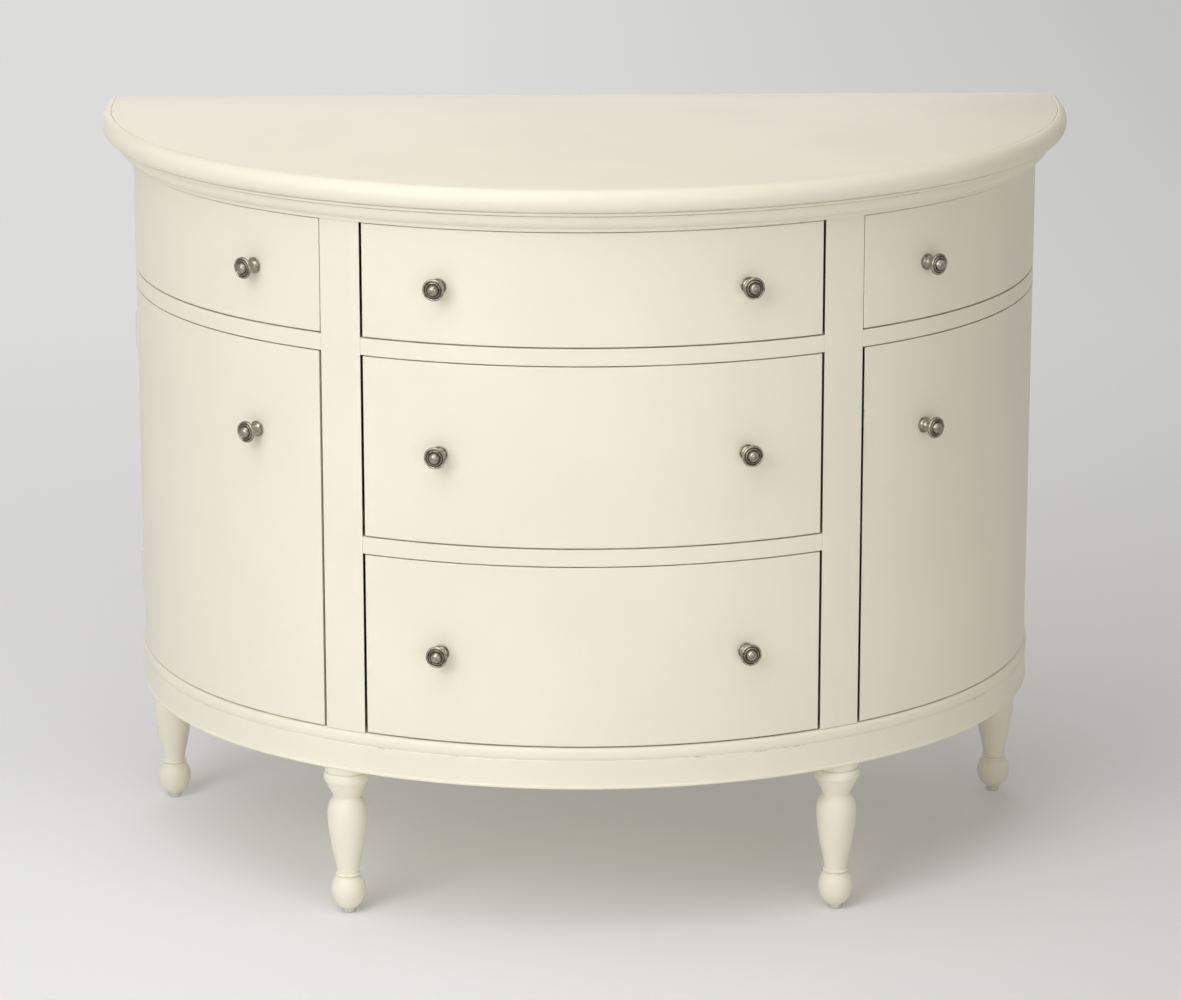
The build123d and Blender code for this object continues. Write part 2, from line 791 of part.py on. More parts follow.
side_box_z = upper_drawer_z + front_gap / 2
side_box_top = upper_drawer_z + upper_drawer_height - box_drop
side_bottom_z = side_box_z + bottom_lift
for name, side in SIDES.items():
    with BuildPart() as side_front:
        with BuildSketch(Plane.XY.offset(upper_drawer_z)):
            plan_band(0, -front_thickness)
            keep_side(side, side_drawer_angle, post_depth + side_drawer_gap, front_thickness)
        extrude(amount=upper_drawer_height)
    save(side_front, f"side_drawer_front_{name}")

    with BuildPart() as side_walls:
        for start, end in ((near_edge, near_edge + box_wall), (far_edge - box_wall, far_edge)):
            with BuildSketch(Plane.XY.offset(side_box_z)):
                wedge(side, box_front_grow, start, end, wedge_back_x + box_wall)
            extrude(amount=side_box_top - side_box_z)
        with BuildSketch(Plane.XY.offset(side_bottom_z)):
            wedge(
                side,
                box_front_grow,
                near_edge + box_wall - bottom_groove,
                far_edge - box_wall + bottom_groove,
                wedge_back_x,
            )
        extrude(amount=bottom_thickness, mode=Mode.SUBTRACT)
    save(side_walls, f"side_drawer_sides_{name}")

    with BuildPart() as side_back:
        back_z = side_bottom_z + bottom_thickness
        with BuildSketch(Plane.XY.offset(back_z)):
            wedge(side, box_front_grow, near_edge, far_edge, wedge_back_x)
            keep_polygon(
                [
                    (side * wedge_back_x, 0),
                    (side * (wedge_back_x + box_wall), 0),
                    (side * (wedge_back_x + box_wall), -case_depth),
                    (side * wedge_back_x, -case_depth),
                ]
            )
        extrude(amount=side_box_top - back_z)
    save(side_back, f"side_drawer_back_{name}")

    with BuildPart() as side_bottom:
        with BuildSketch(Plane.XY.offset(side_bottom_z)):
            wedge(
                side,
                box_front_grow,
                near_edge + box_wall - bottom_groove + groove_clearance,
                far_edge - box_wall + bottom_groove - groove_clearance,
                wedge_back_x,
            )
        extrude(amount=bottom_thickness)
    save(side_bottom, f"side_drawer_bottom_{name}")

    knob_z = upper_drawer_z + upper_drawer_height / 2
    knobs([(side * side_knob_angle, knob_z)], f"side_drawer_knob_{name}")
    knobs([(side * side_knob_angle, upper_rail_z - door_knob_drop)], f"door_knob_{name}")

with BuildPart() as side_runners:
    board_top = side_box_z - slide_gap
    near_guide = near_edge + box_wall + side_guide_gap
    far_guide = far_edge - box_wall - side_guide_gap - side_guide_width
    runner_strips = (
        (near_edge, far_edge, board_top - side_runner_thickness, side_runner_thickness),
        (near_guide, near_guide + side_guide_width, board_top, side_guide_height),
        (far_guide, far_guide + side_guide_width, board_top, side_guide_height),
    )
    for side in SIDES.values():
        for start, end, low, height in runner_strips:
            with BuildSketch(Plane.XY.offset(low)):
                wedge(side, -stile_thickness - curve_clearance, start, end, partition_x)
            extrude(amount=height)
save(side_runners, "side_drawer_runners")


# Butt hinges: knuckles in turn on each leaf, the pin fixed in the leaf on the case
def hinge_leaf(side, z_middle, on_case):
    """One leaf of one hinge, with its knuckles; the leaf on the case holds the pin."""
    axis_x = side * hinge_axis_x
    knuckle = hinge_length / hinge_knuckle_count
    leaf_y = -post_depth if on_case else -door_back_y + hinge_leaf_thickness
    inner_x = case_half_width - hinge_leaf_width
    leaf_reach = hinge_axis_x - inner_x
    low = z_middle - hinge_length / 2
    mine = [n for n in range(hinge_knuckle_count) if (n % 2 == 0) == on_case]
    other = [n for n in range(hinge_knuckle_count) if n not in mine]
    with Locations((side * (inner_x + leaf_reach / 2), leaf_y - hinge_leaf_thickness / 2, z_middle)):
        Box(leaf_reach, hinge_leaf_thickness, hinge_length)
    with Locations(*[(axis_x, hinge_axis_y, low + (n + 0.5) * knuckle) for n in mine]):
        Cylinder(hinge_barrel_radius, knuckle - hinge_knuckle_gap)
    with Locations(*[(axis_x, hinge_axis_y, low + (n + 0.5) * knuckle) for n in other]):
        Cylinder(hinge_barrel_radius + hinge_relief / 2, knuckle + hinge_knuckle_gap, mode=Mode.SUBTRACT)
    with Locations((axis_x, hinge_axis_y, z_middle)):
        if on_case:
            Cylinder(hinge_pin_radius, hinge_length - hinge_knuckle_gap)
        else:
            Cylinder(hinge_pin_radius + hinge_running_gap, 2 * hinge_length, mode=Mode.SUBTRACT)


with BuildPart() as case_leaves:
    for side in SIDES.values():
        for z in hinge_heights:
            hinge_leaf(side, z, True)
save(case_leaves, "hinge_leaves_case")

for name, side in SIDES.items():
    with BuildPart() as door_leaves:
        for z in hinge_heights:
            hinge_leaf(side, z, False)
    save(door_leaves, f"hinge_leaves_door_{name}")

# Magnetic catches
catch_angle = surface_angle(partition_x + catch_offset)
with BuildPart() as catches:
    for side in SIDES.values():
        catch_plane = surface_plane(
            side * catch_angle, shelf_z - catch_height / 2, -front_thickness - catch_gap
        )
        with BuildSketch(catch_plane):
            Rectangle(catch_width, catch_height)
        extrude(amount=-catch_depth)
save(catches, "door_catches")

print("overall height", overall_height)
print("front radius", round(front_radius, 2), "side radius", round(side_radius, 2))
print("knob place", round(knob_x, 2), round(knob_y, 2), "near edge", round(near_edge, 2))
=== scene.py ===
# %% [markdown]
# # A half-moon sideboard in cream paint
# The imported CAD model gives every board, drawer, door, hinge and leg its place. This lesson dresses
# it: softened painted edges, turned legs and pewter knobs with real curves, screws and plates, and
# a studio with a camera at the photograph's angle. Everything is in metres, +X to the right seen
# from the front, the bowed front towards -Y, and the floor at z = 0.

# %% Load the frame
import json
import math

import bmesh
import bpy
from mathutils import Matrix, Vector


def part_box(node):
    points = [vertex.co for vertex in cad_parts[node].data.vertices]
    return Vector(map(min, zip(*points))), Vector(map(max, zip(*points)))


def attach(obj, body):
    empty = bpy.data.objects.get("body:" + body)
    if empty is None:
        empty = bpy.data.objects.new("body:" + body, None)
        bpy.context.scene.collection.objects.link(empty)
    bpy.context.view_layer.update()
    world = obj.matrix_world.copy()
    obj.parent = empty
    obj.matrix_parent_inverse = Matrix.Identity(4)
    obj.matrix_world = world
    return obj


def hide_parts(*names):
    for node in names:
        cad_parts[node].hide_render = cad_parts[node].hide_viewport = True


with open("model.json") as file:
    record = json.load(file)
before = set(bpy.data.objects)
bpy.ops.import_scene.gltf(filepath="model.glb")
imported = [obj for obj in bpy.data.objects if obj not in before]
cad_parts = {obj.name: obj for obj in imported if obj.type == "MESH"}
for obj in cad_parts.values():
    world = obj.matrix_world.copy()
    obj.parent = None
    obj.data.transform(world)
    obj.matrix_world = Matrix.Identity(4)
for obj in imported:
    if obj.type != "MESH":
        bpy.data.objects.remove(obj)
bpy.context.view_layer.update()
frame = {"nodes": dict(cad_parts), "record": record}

# %% [markdown]
# ## The camera
# The photograph was taken from a little left of the middle, well above the top board and with a
# long lens. The place, the tilt and the lens come from fitting the long curves of the top, the
# drawers and the base, and the feet. The small downward shift keeps the upright edges nearly
# parallel, as the photograph has them.

# %% Camera
PHOTO_WIDTH = 1181
camera_place = Vector((-0.116822, -5.34486, 1.943887))
camera_yaw, camera_pitch, camera_roll = 0.0232414, 0.2524696, -0.0002534
camera_focal_px = 4593.1
camera_axis_px = (4.7, -80.1)

camera_data = bpy.data.cameras.new("photo_camera")
camera_data.sensor_width = 36.0
camera_data.lens = camera_focal_px / PHOTO_WIDTH * camera_data.sensor_width
camera_data.shift_x = -camera_axis_px[0] / PHOTO_WIDTH
camera_data.shift_y = camera_axis_px[1] / PHOTO_WIDTH
camera = bpy.data.objects.new("photo_camera", camera_data)
bpy.context.scene.collection.objects.link(camera)
bpy.context.scene.camera = camera

forward = Vector((
    math.sin(camera_yaw) * math.cos(camera_pitch),
    math.cos(camera_yaw) * math.cos(camera_pitch),
    -math.sin(camera_pitch),
))
level_right = Vector((math.cos(camera_yaw), -math.sin(camera_yaw), 0.0))
level_up = level_right.cross(forward)
right = math.cos(camera_roll) * level_right + math.sin(camera_roll) * level_up
up = -math.sin(camera_roll) * level_right + math.cos(camera_roll) * level_up
camera_turn = Matrix((right, up, -forward)).transposed()
camera.matrix_world = Matrix.Translation(camera_place) @ camera_turn.to_4x4()
print("lens", round(camera_data.lens, 1), "mm, pitch", round(math.degrees(camera_pitch), 1), "degrees")

# %% [markdown]
# ## Nodes by name
# Materials and Geometry Nodes trees are both graphs of nodes. A few small helpers add a node and
# set its options and sockets, so that each finish below reads as a short recipe.


# %% Helpers for node graphs
def add_node(tree, kind, options=None, **sockets):
    """Add a node; options are its own settings, and sockets its unlinked input values."""
    node = tree.nodes.new(kind)
    for key, value in (options or {}).items():
        setattr(node, key, value)
    for key, value in sockets.items():
        node.inputs[key.replace("_", " ")].default_value = value
    return node


def new_material(name, roughness, metallic=0.0, coat=0.0):
    """A material with its shader's plain numbers set on the shader itself."""
    material = bpy.data.materials.new(name)
    material.use_nodes = True
    shader = material.node_tree.nodes["Principled BSDF"]
    shader.inputs["Roughness"].default_value = roughness
    shader.inputs["Metallic"].default_value = metallic
    shader.inputs["Coat Weight"].default_value = coat
    return material, material.node_tree, shader


def stretched_coords(tree, stretch):
    """Object coordinates, stretched so that a pattern gets a direction."""
    coords = add_node(tree, "ShaderNodeTexCoord")
    mapping = add_node(tree, "ShaderNodeMapping")
    mapping.inputs["Scale"].default_value = stretch
    tree.links.new(coords.outputs["Object"], mapping.inputs["Vector"])
    return mapping.outputs["Vector"]


def noise(tree, vector, scale, detail=3.0, roughness=0.5):
    """A noise pattern of one size on given coordinates."""
    node = add_node(tree, "ShaderNodeTexNoise", Scale=scale, Detail=detail, Roughness=roughness)
    tree.links.new(vector, node.inputs["Vector"])
    return node.outputs["Fac"]


def remap(tree, value, low, high, to_low=0.0, to_high=1.0):
    """Spread a range of values over another, and stop at its ends."""
    node = add_node(tree, "ShaderNodeMapRange", From_Min=low, From_Max=high, To_Min=to_low, To_Max=to_high)
    tree.links.new(value, node.inputs["Value"])
    return node.outputs["Result"]


def multiply(tree, first, second):
    """The product of two values, each a socket or a number."""
    node = add_node(tree, "ShaderNodeMath", {"operation": "MULTIPLY"})
    for slot, value in zip(node.inputs, (first, second)):
        if isinstance(value, (int, float)):
            slot.default_value = value
        else:
            tree.links.new(value, slot)
    return node.outputs["Value"]


def blend_colours(tree, factor, first, second):
    """Mix two colours, each a socket or three linear numbers."""
    node = add_node(tree, "ShaderNodeMix", {"data_type": "RGBA"})
    tree.links.new(factor, node.inputs["Factor"])
    colour_slots = [slot for slot in node.inputs if slot.type == "RGBA"]
    for slot, value in zip(colour_slots, (first, second)):
        if isinstance(value, tuple):
            slot.default_value = (*value, 1.0)
        else:
            tree.links.new(value, slot)
    return next(result for result in node.outputs if result.type == "RGBA")


def bump(tree, height, shader, strength, distance, below=None):
    """Let a height pattern tilt the surface's normal, on top of another one if given."""
    node = add_node(tree, "ShaderNodeBump", Strength=strength, Distance=distance)
    tree.links.new(height, node.inputs["Height"])
    if below is not None:
        tree.links.new(below, node.inputs["Normal"])
    tree.links.new(node.outputs["Normal"], shader.inputs["Normal"])
    return node.outputs["Normal"]


def linear(red, green, blue):
    """Linear colour from the 0 to 255 numbers of a colour picker."""
    shares = (red / 255, green / 255, blue / 255)
    return tuple(c / 12.92 if c <= 0.04045 else ((c + 0.055) / 1.055) ** 2.4 for c in shares)


def scaled(colour, share):
    """A darker version of a linear colour."""
    return tuple(share * c for c in colour)


EVEN = (1.0, 1.0, 1.0)
print("mid grey is", [round(c, 3) for c in linear(128, 128, 128)])

# %% [markdown]
# ## Cream paint
# The sideboard is sprayed in a warm satin cream. A flat colour looks like plastic, so three things
# are added: a very faint cloudiness and a fine orange-peel bump, a brown glaze in tight corners that
# is partly painted shade, also darkening the gaps between parts, and edges where the paint is rubbed
# thin. The corners and gaps come from an ambient occlusion node that looks only a few millimetres
# far and also sees the neighbouring parts, the edges from comparing the normal with the rounded one
# of a bevel node, broken up by noise so that the wear comes in short touches, as in the photograph.
# Three versions differ in the way of the brush and in how much of an edge is rubbed.


# %% Cream paint
CREAM = linear(240, 235, 217)
GLAZE_AND_PAINTED_SHADE = linear(124, 94, 58)
RUBBED = linear(150, 118, 78)
CORNER_REACH, EDGE_ROUNDING = 0.004, 0.0016


def cream_paint(name, wear, brush_direction):
    """Satin paint with brown glaze and painted shade in its corners and gaps, and rubbed edges; wear is how
    much of an edge is rubbed.
    """
    material, tree, shader = new_material(name, roughness=0.42)
    shader.inputs["Specular IOR Level"].default_value = 0.42
    plain = stretched_coords(tree, EVEN)
    brushed = stretched_coords(tree, brush_direction)

    clouds = remap(tree, noise(tree, plain, scale=4.0, detail=4.0), 0.35, 0.65)
    colour = blend_colours(tree, clouds, CREAM, scaled(CREAM, 0.955))

    # Painted shade: this occlusion also sees the neighbouring parts, so the brown glaze darkens the gaps
    # between parts where shade falls.
    corners = add_node(tree, "ShaderNodeAmbientOcclusion", {"samples": 8}, Distance=CORNER_REACH)
    glaze_and_painted_shade = remap(tree, corners.outputs["AO"], 0.7, 0.2, 0.0, 0.38)
    patchy = remap(tree, noise(tree, plain, scale=22.0), 0.3, 0.62, 0.35, 1.0)
    colour = blend_colours(tree, multiply(tree, glaze_and_painted_shade, patchy), colour, GLAZE_AND_PAINTED_SHADE)

    rounded = add_node(tree, "ShaderNodeBevel", {"samples": 4}, Radius=EDGE_ROUNDING)
    surface = add_node(tree, "ShaderNodeNewGeometry")
    agreement = add_node(tree, "ShaderNodeVectorMath", {"operation": "DOT_PRODUCT"})
    tree.links.new(rounded.outputs["Normal"], agreement.inputs[0])
    tree.links.new(surface.outputs["Normal"], agreement.inputs[1])
    on_edge = remap(tree, agreement.outputs["Value"], 0.99, 0.86)
    rubs = noise(tree, plain, scale=17.0, detail=5.0, roughness=0.7)
    touches = remap(tree, rubs, 0.64 - wear, 0.70 - wear)
    colour = blend_colours(tree, multiply(tree, on_edge, touches), colour, RUBBED)
    tree.links.new(colour, shader.inputs["Base Color"])

    brush_marks = bump(tree, noise(tree, brushed, scale=60.0, detail=2.0), shader, 0.10, 0.0004)
    orange_peel = noise(tree, plain, scale=900.0, detail=1.0)
    bump(tree, orange_peel, shader, 0.06, 0.0001, below=brush_marks)
    return material


paint_level = cream_paint("cream_paint_level", 0.05, (0.6, 0.6, 5.0))
paint_upright = cream_paint("cream_paint_upright", 0.03, (5.0, 5.0, 0.6))
paint_top = cream_paint("cream_paint_top", 0.0, (0.6, 5.0, 5.0))
print("paint", [round(c, 3) for c in CREAM])

# %% [markdown]
# ## Woods inside
# The drawer boxes are lacquered hardwood with plywood bottoms, and the runners, the corner blocks
# and the rail at the back are planed softwood. Each has rings that run along the board: a wave
# pattern bent by noise, plus fine pores stretched along the grain. The back is thin plywood with a
# thin coat of the same cream, so only uneven streaks of its grain show.


# %% Wood
def wood(name, shades, ring_scale, along, roughness, pore_depth):
    """Grain along one direction, given by how far each axis is squeezed."""
    light, dark = shades
    material, tree, shader = new_material(name, roughness=roughness, coat=0.1)
    coords = stretched_coords(tree, along)
    bent = add_node(
        tree, "ShaderNodeTexWave", {"wave_type": "RINGS", "rings_direction": "X"},
        Scale=ring_scale, Distortion=7.0, Detail=3.0, Detail_Scale=1.6,
    )
    tree.links.new(coords, bent.inputs["Vector"])
    rings = remap(tree, bent.outputs["Fac"], 0.15, 0.95, 0.0, 0.8)
    colour = blend_colours(tree, rings, light, dark)
    specks = noise(tree, coords, scale=90.0, detail=4.0, roughness=0.7)
    pores = remap(tree, specks, 0.56, 0.72, 0.0, 0.5)
    colour = blend_colours(tree, pores, colour, scaled(dark, 0.55))
    tree.links.new(colour, shader.inputs["Base Color"])
    bump(tree, pores, shader, 0.25, pore_depth)
    return material


def washed_veneer(name, shades, along, roughness):
    """Plywood under a thin coat of paint: uneven streaks of grain show through, with no clear rings."""
    light, dark = shades
    material, tree, shader = new_material(name, roughness=roughness)
    fibres = noise(tree, stretched_coords(tree, along), scale=11.0, detail=7.0, roughness=0.62)
    streaks = remap(tree, fibres, 0.36, 0.70, 0.0, 0.75)
    colour = blend_colours(tree, streaks, light, dark)
    clouds = noise(tree, stretched_coords(tree, EVEN), scale=3.5)
    uneven = remap(tree, clouds, 0.35, 0.7, 0.0, 0.5)
    colour = blend_colours(tree, uneven, colour, scaled(light, 0.93))
    tree.links.new(colour, shader.inputs["Base Color"])
    bump(tree, streaks, shader, 0.2, 0.0003)
    return material


ALONG_Y = (6.0, 0.5, 6.0)
ALONG_X = (0.5, 6.0, 6.0)
HARDWOOD = (linear(206, 172, 124), linear(176, 136, 88))
PLYWOOD = (linear(214, 186, 142), linear(196, 163, 118))
SOFTWOOD = (linear(214, 180, 128), linear(184, 142, 90))
PALE_SOFTWOOD = (linear(214, 186, 142), linear(190, 156, 110))
WASHED = (linear(232, 225, 206), linear(213, 204, 181))
hardwood_sides = wood("drawer_hardwood_sides", HARDWOOD, 2.2, ALONG_Y, 0.38, 0.0003)
hardwood_backs = wood("drawer_hardwood_backs", HARDWOOD, 2.2, ALONG_X, 0.38, 0.0003)
plywood = wood("drawer_plywood", PLYWOOD, 2.0, ALONG_X, 0.45, 0.0002)
softwood = wood("planed_softwood", SOFTWOOD, 1.6, ALONG_Y, 0.6, 0.0004)
softwood_rail = wood("planed_softwood_rail", PALE_SOFTWOOD, 2.4, ALONG_X, 0.6, 0.0004)
back_board = washed_veneer("painted_back_plywood", WASHED, (0.35, 7.0, 7.0), 0.6)
print("materials so far", len(bpy.data.materials))

# %% [markdown]
# ## Aged pewter, nickel and plastic
# The knobs are pewter: a dull grey metal whose grooves are almost black and whose raised rings are
# rubbed bright. Cavities again come from a short ambient occlusion, the rest from noise. Hinges are
# satin nickel, and so are the glides under the legs; the catches are cream plastic.


# %% Metals and plastic
def pewter(name):
    """Aged metal, dark in its hollows and mottled on top."""
    material, tree, shader = new_material(name, roughness=0.34, metallic=1.0)
    plain = stretched_coords(tree, EVEN)
    mottle = remap(tree, noise(tree, plain, scale=260.0, detail=5.0, roughness=0.65), 0.35, 0.68)
    colour = blend_colours(tree, mottle, linear(184, 178, 164), linear(122, 116, 102))
    hollow = add_node(
        tree, "ShaderNodeAmbientOcclusion", {"samples": 8, "only_local": True}, Distance=0.003
    )
    in_hollow = remap(tree, hollow.outputs["AO"], 0.76, 0.34, 0.0, 0.82)
    colour = blend_colours(tree, in_hollow, colour, linear(34, 30, 26))
    tree.links.new(colour, shader.inputs["Base Color"])
    dull = remap(tree, noise(tree, plain, scale=320.0), 0.3, 0.7, 0.22, 0.42)
    tree.links.new(dull, shader.inputs["Roughness"])
    bump(tree, mottle, shader, 0.18, 0.0002)
    return material


def satin_metal(name, colour, roughness, streaks):
    """Plated metal with fine streaks along its length."""
    material, tree, shader = new_material(name, roughness=roughness, metallic=1.0)
    fine = noise(tree, stretched_coords(tree, streaks), scale=120.0)
    dull = remap(tree, fine, 0.3, 0.7, roughness - 0.06, roughness + 0.1)
    tone = blend_colours(tree, remap(tree, fine, 0.3, 0.7), colour, scaled(colour, 0.86))
    tree.links.new(dull, shader.inputs["Roughness"])
    tree.links.new(tone, shader.inputs["Base Color"])
    bump(tree, fine, shader, 0.08, 0.0001)
    return material


def moulded_plastic(name, colour, roughness):
    """Plastic with a fine moulded grain."""
    material, tree, shader = new_material(name, roughness=roughness)
    grain = noise(tree, stretched_coords(tree, EVEN), scale=700.0, detail=2.0)
    tone = blend_colours(tree, remap(tree, grain, 0.3, 0.7), colour, scaled(colour, 0.9))
    tree.links.new(tone, shader.inputs["Base Color"])
    bump(tree, grain, shader, 0.15, 0.0002)
    return material


aged_pewter = pewter("aged_pewter")
nickel = satin_metal("hinge_nickel", linear(246, 243, 237), 0.42, (20.0, 20.0, 1.0))
screw_steel = satin_metal("screw_steel", linear(190, 186, 178), 0.32, (1.0, 20.0, 1.0))
catch_plastic = moulded_plastic("catch_plastic", linear(226, 220, 200), 0.45)
glide_nickel = satin_metal("glide_nickel", linear(226, 224, 219), 0.3, (6.0, 6.0, 1.0))
print("materials so far", len(bpy.data.materials))

# %% [markdown]
# ## One material for each CAD node
# Every CAD node that stays gets its finish here. A node's mesh is never changed: only its material
# slots are. Nodes that a better piece replaces below are covered later by that piece.

# %% Finishes of the CAD nodes
finish_of = {
    "top_panel": paint_top, "bottom_panel": paint_top, "back_panel": back_board,
    "apron_back_rail": softwood_rail, "corner_blocks": softwood, "shelf_cleats": softwood,
    "centre_drawer_runners": softwood, "side_drawer_runners": softwood,
    "foot_glides": glide_nickel, "door_catches": catch_plastic,
}
for node in frame["nodes"]:
    if node.startswith(("stile", "partition", "back_post", "door_panel", "leg")):
        finish_of[node] = paint_upright
    elif node.startswith(("drawer_sides", "side_drawer_sides")):
        finish_of[node] = hardwood_sides
    elif node.startswith(("drawer_back", "side_drawer_back")):
        finish_of[node] = hardwood_backs
    elif node.startswith(("drawer_bottom", "side_drawer_bottom")):
        finish_of[node] = plywood
    elif node.startswith("hinge"):
        finish_of[node] = nickel
    elif "knob" in node:
        finish_of[node] = aged_pewter
    elif node not in finish_of:
        finish_of[node] = paint_level

for node, thing in frame["nodes"].items():
    thing.data.materials.clear()
    thing.data.materials.append(finish_of[node])
print("finished nodes", len(finish_of))

# %% [markdown]
# ## Pieces
# A finished piece is a plain mesh in an object that sits at the origin, unturned and unscaled, and
# rides on a CAD body. Three helpers make one: from a bmesh, from the evaluated result of modifiers,
# and the last one shades it, gives it its finish and hangs it on its body.


# %% Helpers for pieces
def body_of(node):
    """The body that a CAD node belongs to."""
    for body, nodes in frame["record"]["behaviour"]["bodies"].items():
        if node in nodes:
            return body
    return "case"


def object_from(mesh, name):
    """An object for a mesh, linked to the scene."""
    thing = bpy.data.objects.new(name, mesh)
    bpy.context.scene.collection.objects.link(thing)
    return thing


def mesh_object(build, name):
    """An object from a bmesh, which is freed."""
    mesh = bpy.data.meshes.new(name)
    build.to_mesh(mesh)
    build.free()
    return object_from(mesh, name)


def flatten(thing):
    """Turn an object's evaluated result into its plain mesh, and drop its modifiers."""
    bpy.context.view_layer.update()
    depsgraph = bpy.context.evaluated_depsgraph_get()
    mesh = bpy.data.meshes.new_from_object(
        thing.evaluated_get(depsgraph), preserve_all_data_layers=True, depsgraph=depsgraph
    )
    thing.modifiers.clear()
    old = thing.data
    thing.data = mesh
    if old.users == 0:
        bpy.data.meshes.remove(old)
    return thing


def finish_piece(thing, material, body, stands_for=(), sharp_angle=40.0):
    """Shade a piece, give it its finish and hang it on its body."""
    thing.data.materials.clear()
    thing.data.materials.append(material)
    thing.data.polygons.foreach_set("material_index", [0] * len(thing.data.polygons))
    thing.data.shade_smooth()
    if sharp_angle:
        thing.data.set_sharp_from_angle(angle=math.radians(sharp_angle))
    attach(thing, body)
    if stands_for:
        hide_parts(*stands_for)
    return thing


print("the upper drawer's front rides on", body_of("drawer_front_upper"))

# %% [markdown]
# ## Softened boards
# Painted boards never have razor edges: sanding and paint round them by half a millimetre or so, and
# that thin rounded line is what catches the light round each drawer and door. A copy of the CAD
# node is welded, its flat triangles are joined again, and a bevel rounds what is sharper than 30
# degrees. Along the bottom of a drawer's front it is twice as large, because the paint gathers
# there. Weighted normals keep the big faces calm. The free edge of each door is cut back behind its
# face, as a joiner bevels it, so that the curved door swings clear of the stile. The CAD node
# itself stays for collision.


# %% Softened copies of the boards
WELD_DISTANCE, FLAT_ANGLE, SHARP_ANGLE = 2e-6, math.radians(0.2), math.radians(30.0)
LEVEL_TOLERANCE, FREE_EDGE_STRIP = 1e-4, 0.002


def softened(node, edge, material, below=1.0, reshape=None):
    """A copy of a CAD node with rounded edges, larger ones along its bottom, which stands for it."""
    build = bmesh.new()
    build.from_mesh(frame["nodes"][node].data)
    bmesh.ops.remove_doubles(build, verts=build.verts, dist=WELD_DISTANCE)
    bmesh.ops.dissolve_limit(build, angle_limit=FLAT_ANGLE, verts=build.verts, edges=build.edges)
    if reshape:
        reshape(build)
    bottom = min(vert.co.z for vert in build.verts) + LEVEL_TOLERANCE
    weight = build.edges.layers.float.new("bevel_weight_edge")
    for line in build.edges:
        if len(line.link_faces) == 2 and line.calc_face_angle(0.0) > SHARP_ANGLE:
            low_edge = all(vert.co.z < bottom for vert in line.verts)
            line[weight] = 1.0 if low_edge else 1.0 / below
    piece = mesh_object(build, "soft_" + node)
    rounding = piece.modifiers.new("rounded edges", "BEVEL")
    rounding.width = edge * below
    rounding.segments = 2
    rounding.limit_method = "WEIGHT"
    rounding.use_clamp_overlap = True
    weights = piece.modifiers.new("calm faces", "WEIGHTED_NORMAL")
    weights.keep_sharp = True
    flatten(piece)
    return finish_piece(piece, material, body_of(node), [node], sharp_angle=None)


def back_bevel(amount):
    """Cut a door's free edge back behind its face, so that it swings clear of the stile."""
    def reshape(build):
        free_side = min(abs(vert.co.x) for vert in build.verts)
        for vert in build.verts:
            if abs(vert.co.x) < free_side + FREE_EDGE_STRIP:
                vert.co.x += math.copysign(amount, vert.co.x)
    return reshape


SOFT_EDGES = {
    "drawer_front": (0.0009, paint_level), "side_drawer_front": (0.0009, paint_level),
    "door_panel": (0.0010, paint_upright), "stile": (0.0006, paint_upright),
    "centre_rail": (0.0006, paint_level), "side_rail": (0.0006, paint_level),
    "back_post": (0.0008, paint_upright), "partition": (0.0006, paint_upright),
    "shelf_": (0.0010, paint_top), "top_panel": (0.0003, paint_top),
    "drawer_sides": (0.0010, hardwood_sides), "side_drawer_sides": (0.0010, hardwood_sides),
    "drawer_back": (0.0010, hardwood_backs), "side_drawer_back": (0.0010, hardwood_backs),
}
BACK_BEVELS = {"door_panel_left": back_bevel(0.006), "door_panel_right": back_bevel(0.011)}
boards = []
for node in sorted(frame["nodes"]):
    for prefix, (edge, material) in SOFT_EDGES.items():
        if node.startswith(prefix) and node != "shelf_cleats":
            below = 2.0 if "_front" in node else 1.0
            boards.append(softened(node, edge, material, below, BACK_BEVELS.get(node)))
print("softened boards", len(boards), "faces", sum(len(board.data.polygons) for board in boards))

# %% [markdown]
# ## Mouldings that follow the plan
# The moulded edge of the top and the base moulding are each one profile carried round the same plan
# curve. That is a rule, so Geometry Nodes does it: the object's own geometry is the plan curve, a
# second object gives the profile, and Curve to Mesh carries one along the other. Here the profile
# has many more points than the CAD one, so every bead and hollow is round.

# %% The plan curve and the sweeping tree
BACK_Y = 0.2985
HALF_WIDTH, STRAIGHT, BLEND = 0.556, 0.060, 40.0
FRONT_RADIUS, SIDE_RADIUS = 0.604929, 0.467954
FRONT_CENTRE_Y = BACK_Y + 0.044929
SIDE_CENTRE = (0.088046, BACK_Y - STRAIGHT)
END_REACH = 0.014


def on_arc(centre, radius, angle):
    """The point of an arc whose normal is turned by an angle, in degrees, from the front."""
    turn = math.radians(angle)
    return centre[0] + radius * math.sin(turn), centre[1] - radius * math.cos(turn)


def plan_points(steps_front=56, steps_side=36):
    """Points of the case's plan, from the back left round the front to the back right."""
    end_steps = [BACK_Y - END_REACH * (1 - math.cos(math.radians(t))) for t in range(0, 91, 10)]
    straight_end = end_steps + [BACK_Y - STRAIGHT / 2]
    points = [(-HALF_WIDTH, y) for y in straight_end]
    for step in range(steps_side):
        angle = -90 + (90 - BLEND) * step / steps_side
        points.append(on_arc((-SIDE_CENTRE[0], SIDE_CENTRE[1]), SIDE_RADIUS, angle))
    for step in range(steps_front):
        angle = -BLEND + 2 * BLEND * step / steps_front
        points.append(on_arc((0.0, FRONT_CENTRE_Y), FRONT_RADIUS, angle))
    for step in range(steps_side + 1):
        angle = BLEND + (90 - BLEND) * step / steps_side
        points.append(on_arc(SIDE_CENTRE, SIDE_RADIUS, angle))
    return points + [(HALF_WIDTH, y) for y in straight_end[::-1]]


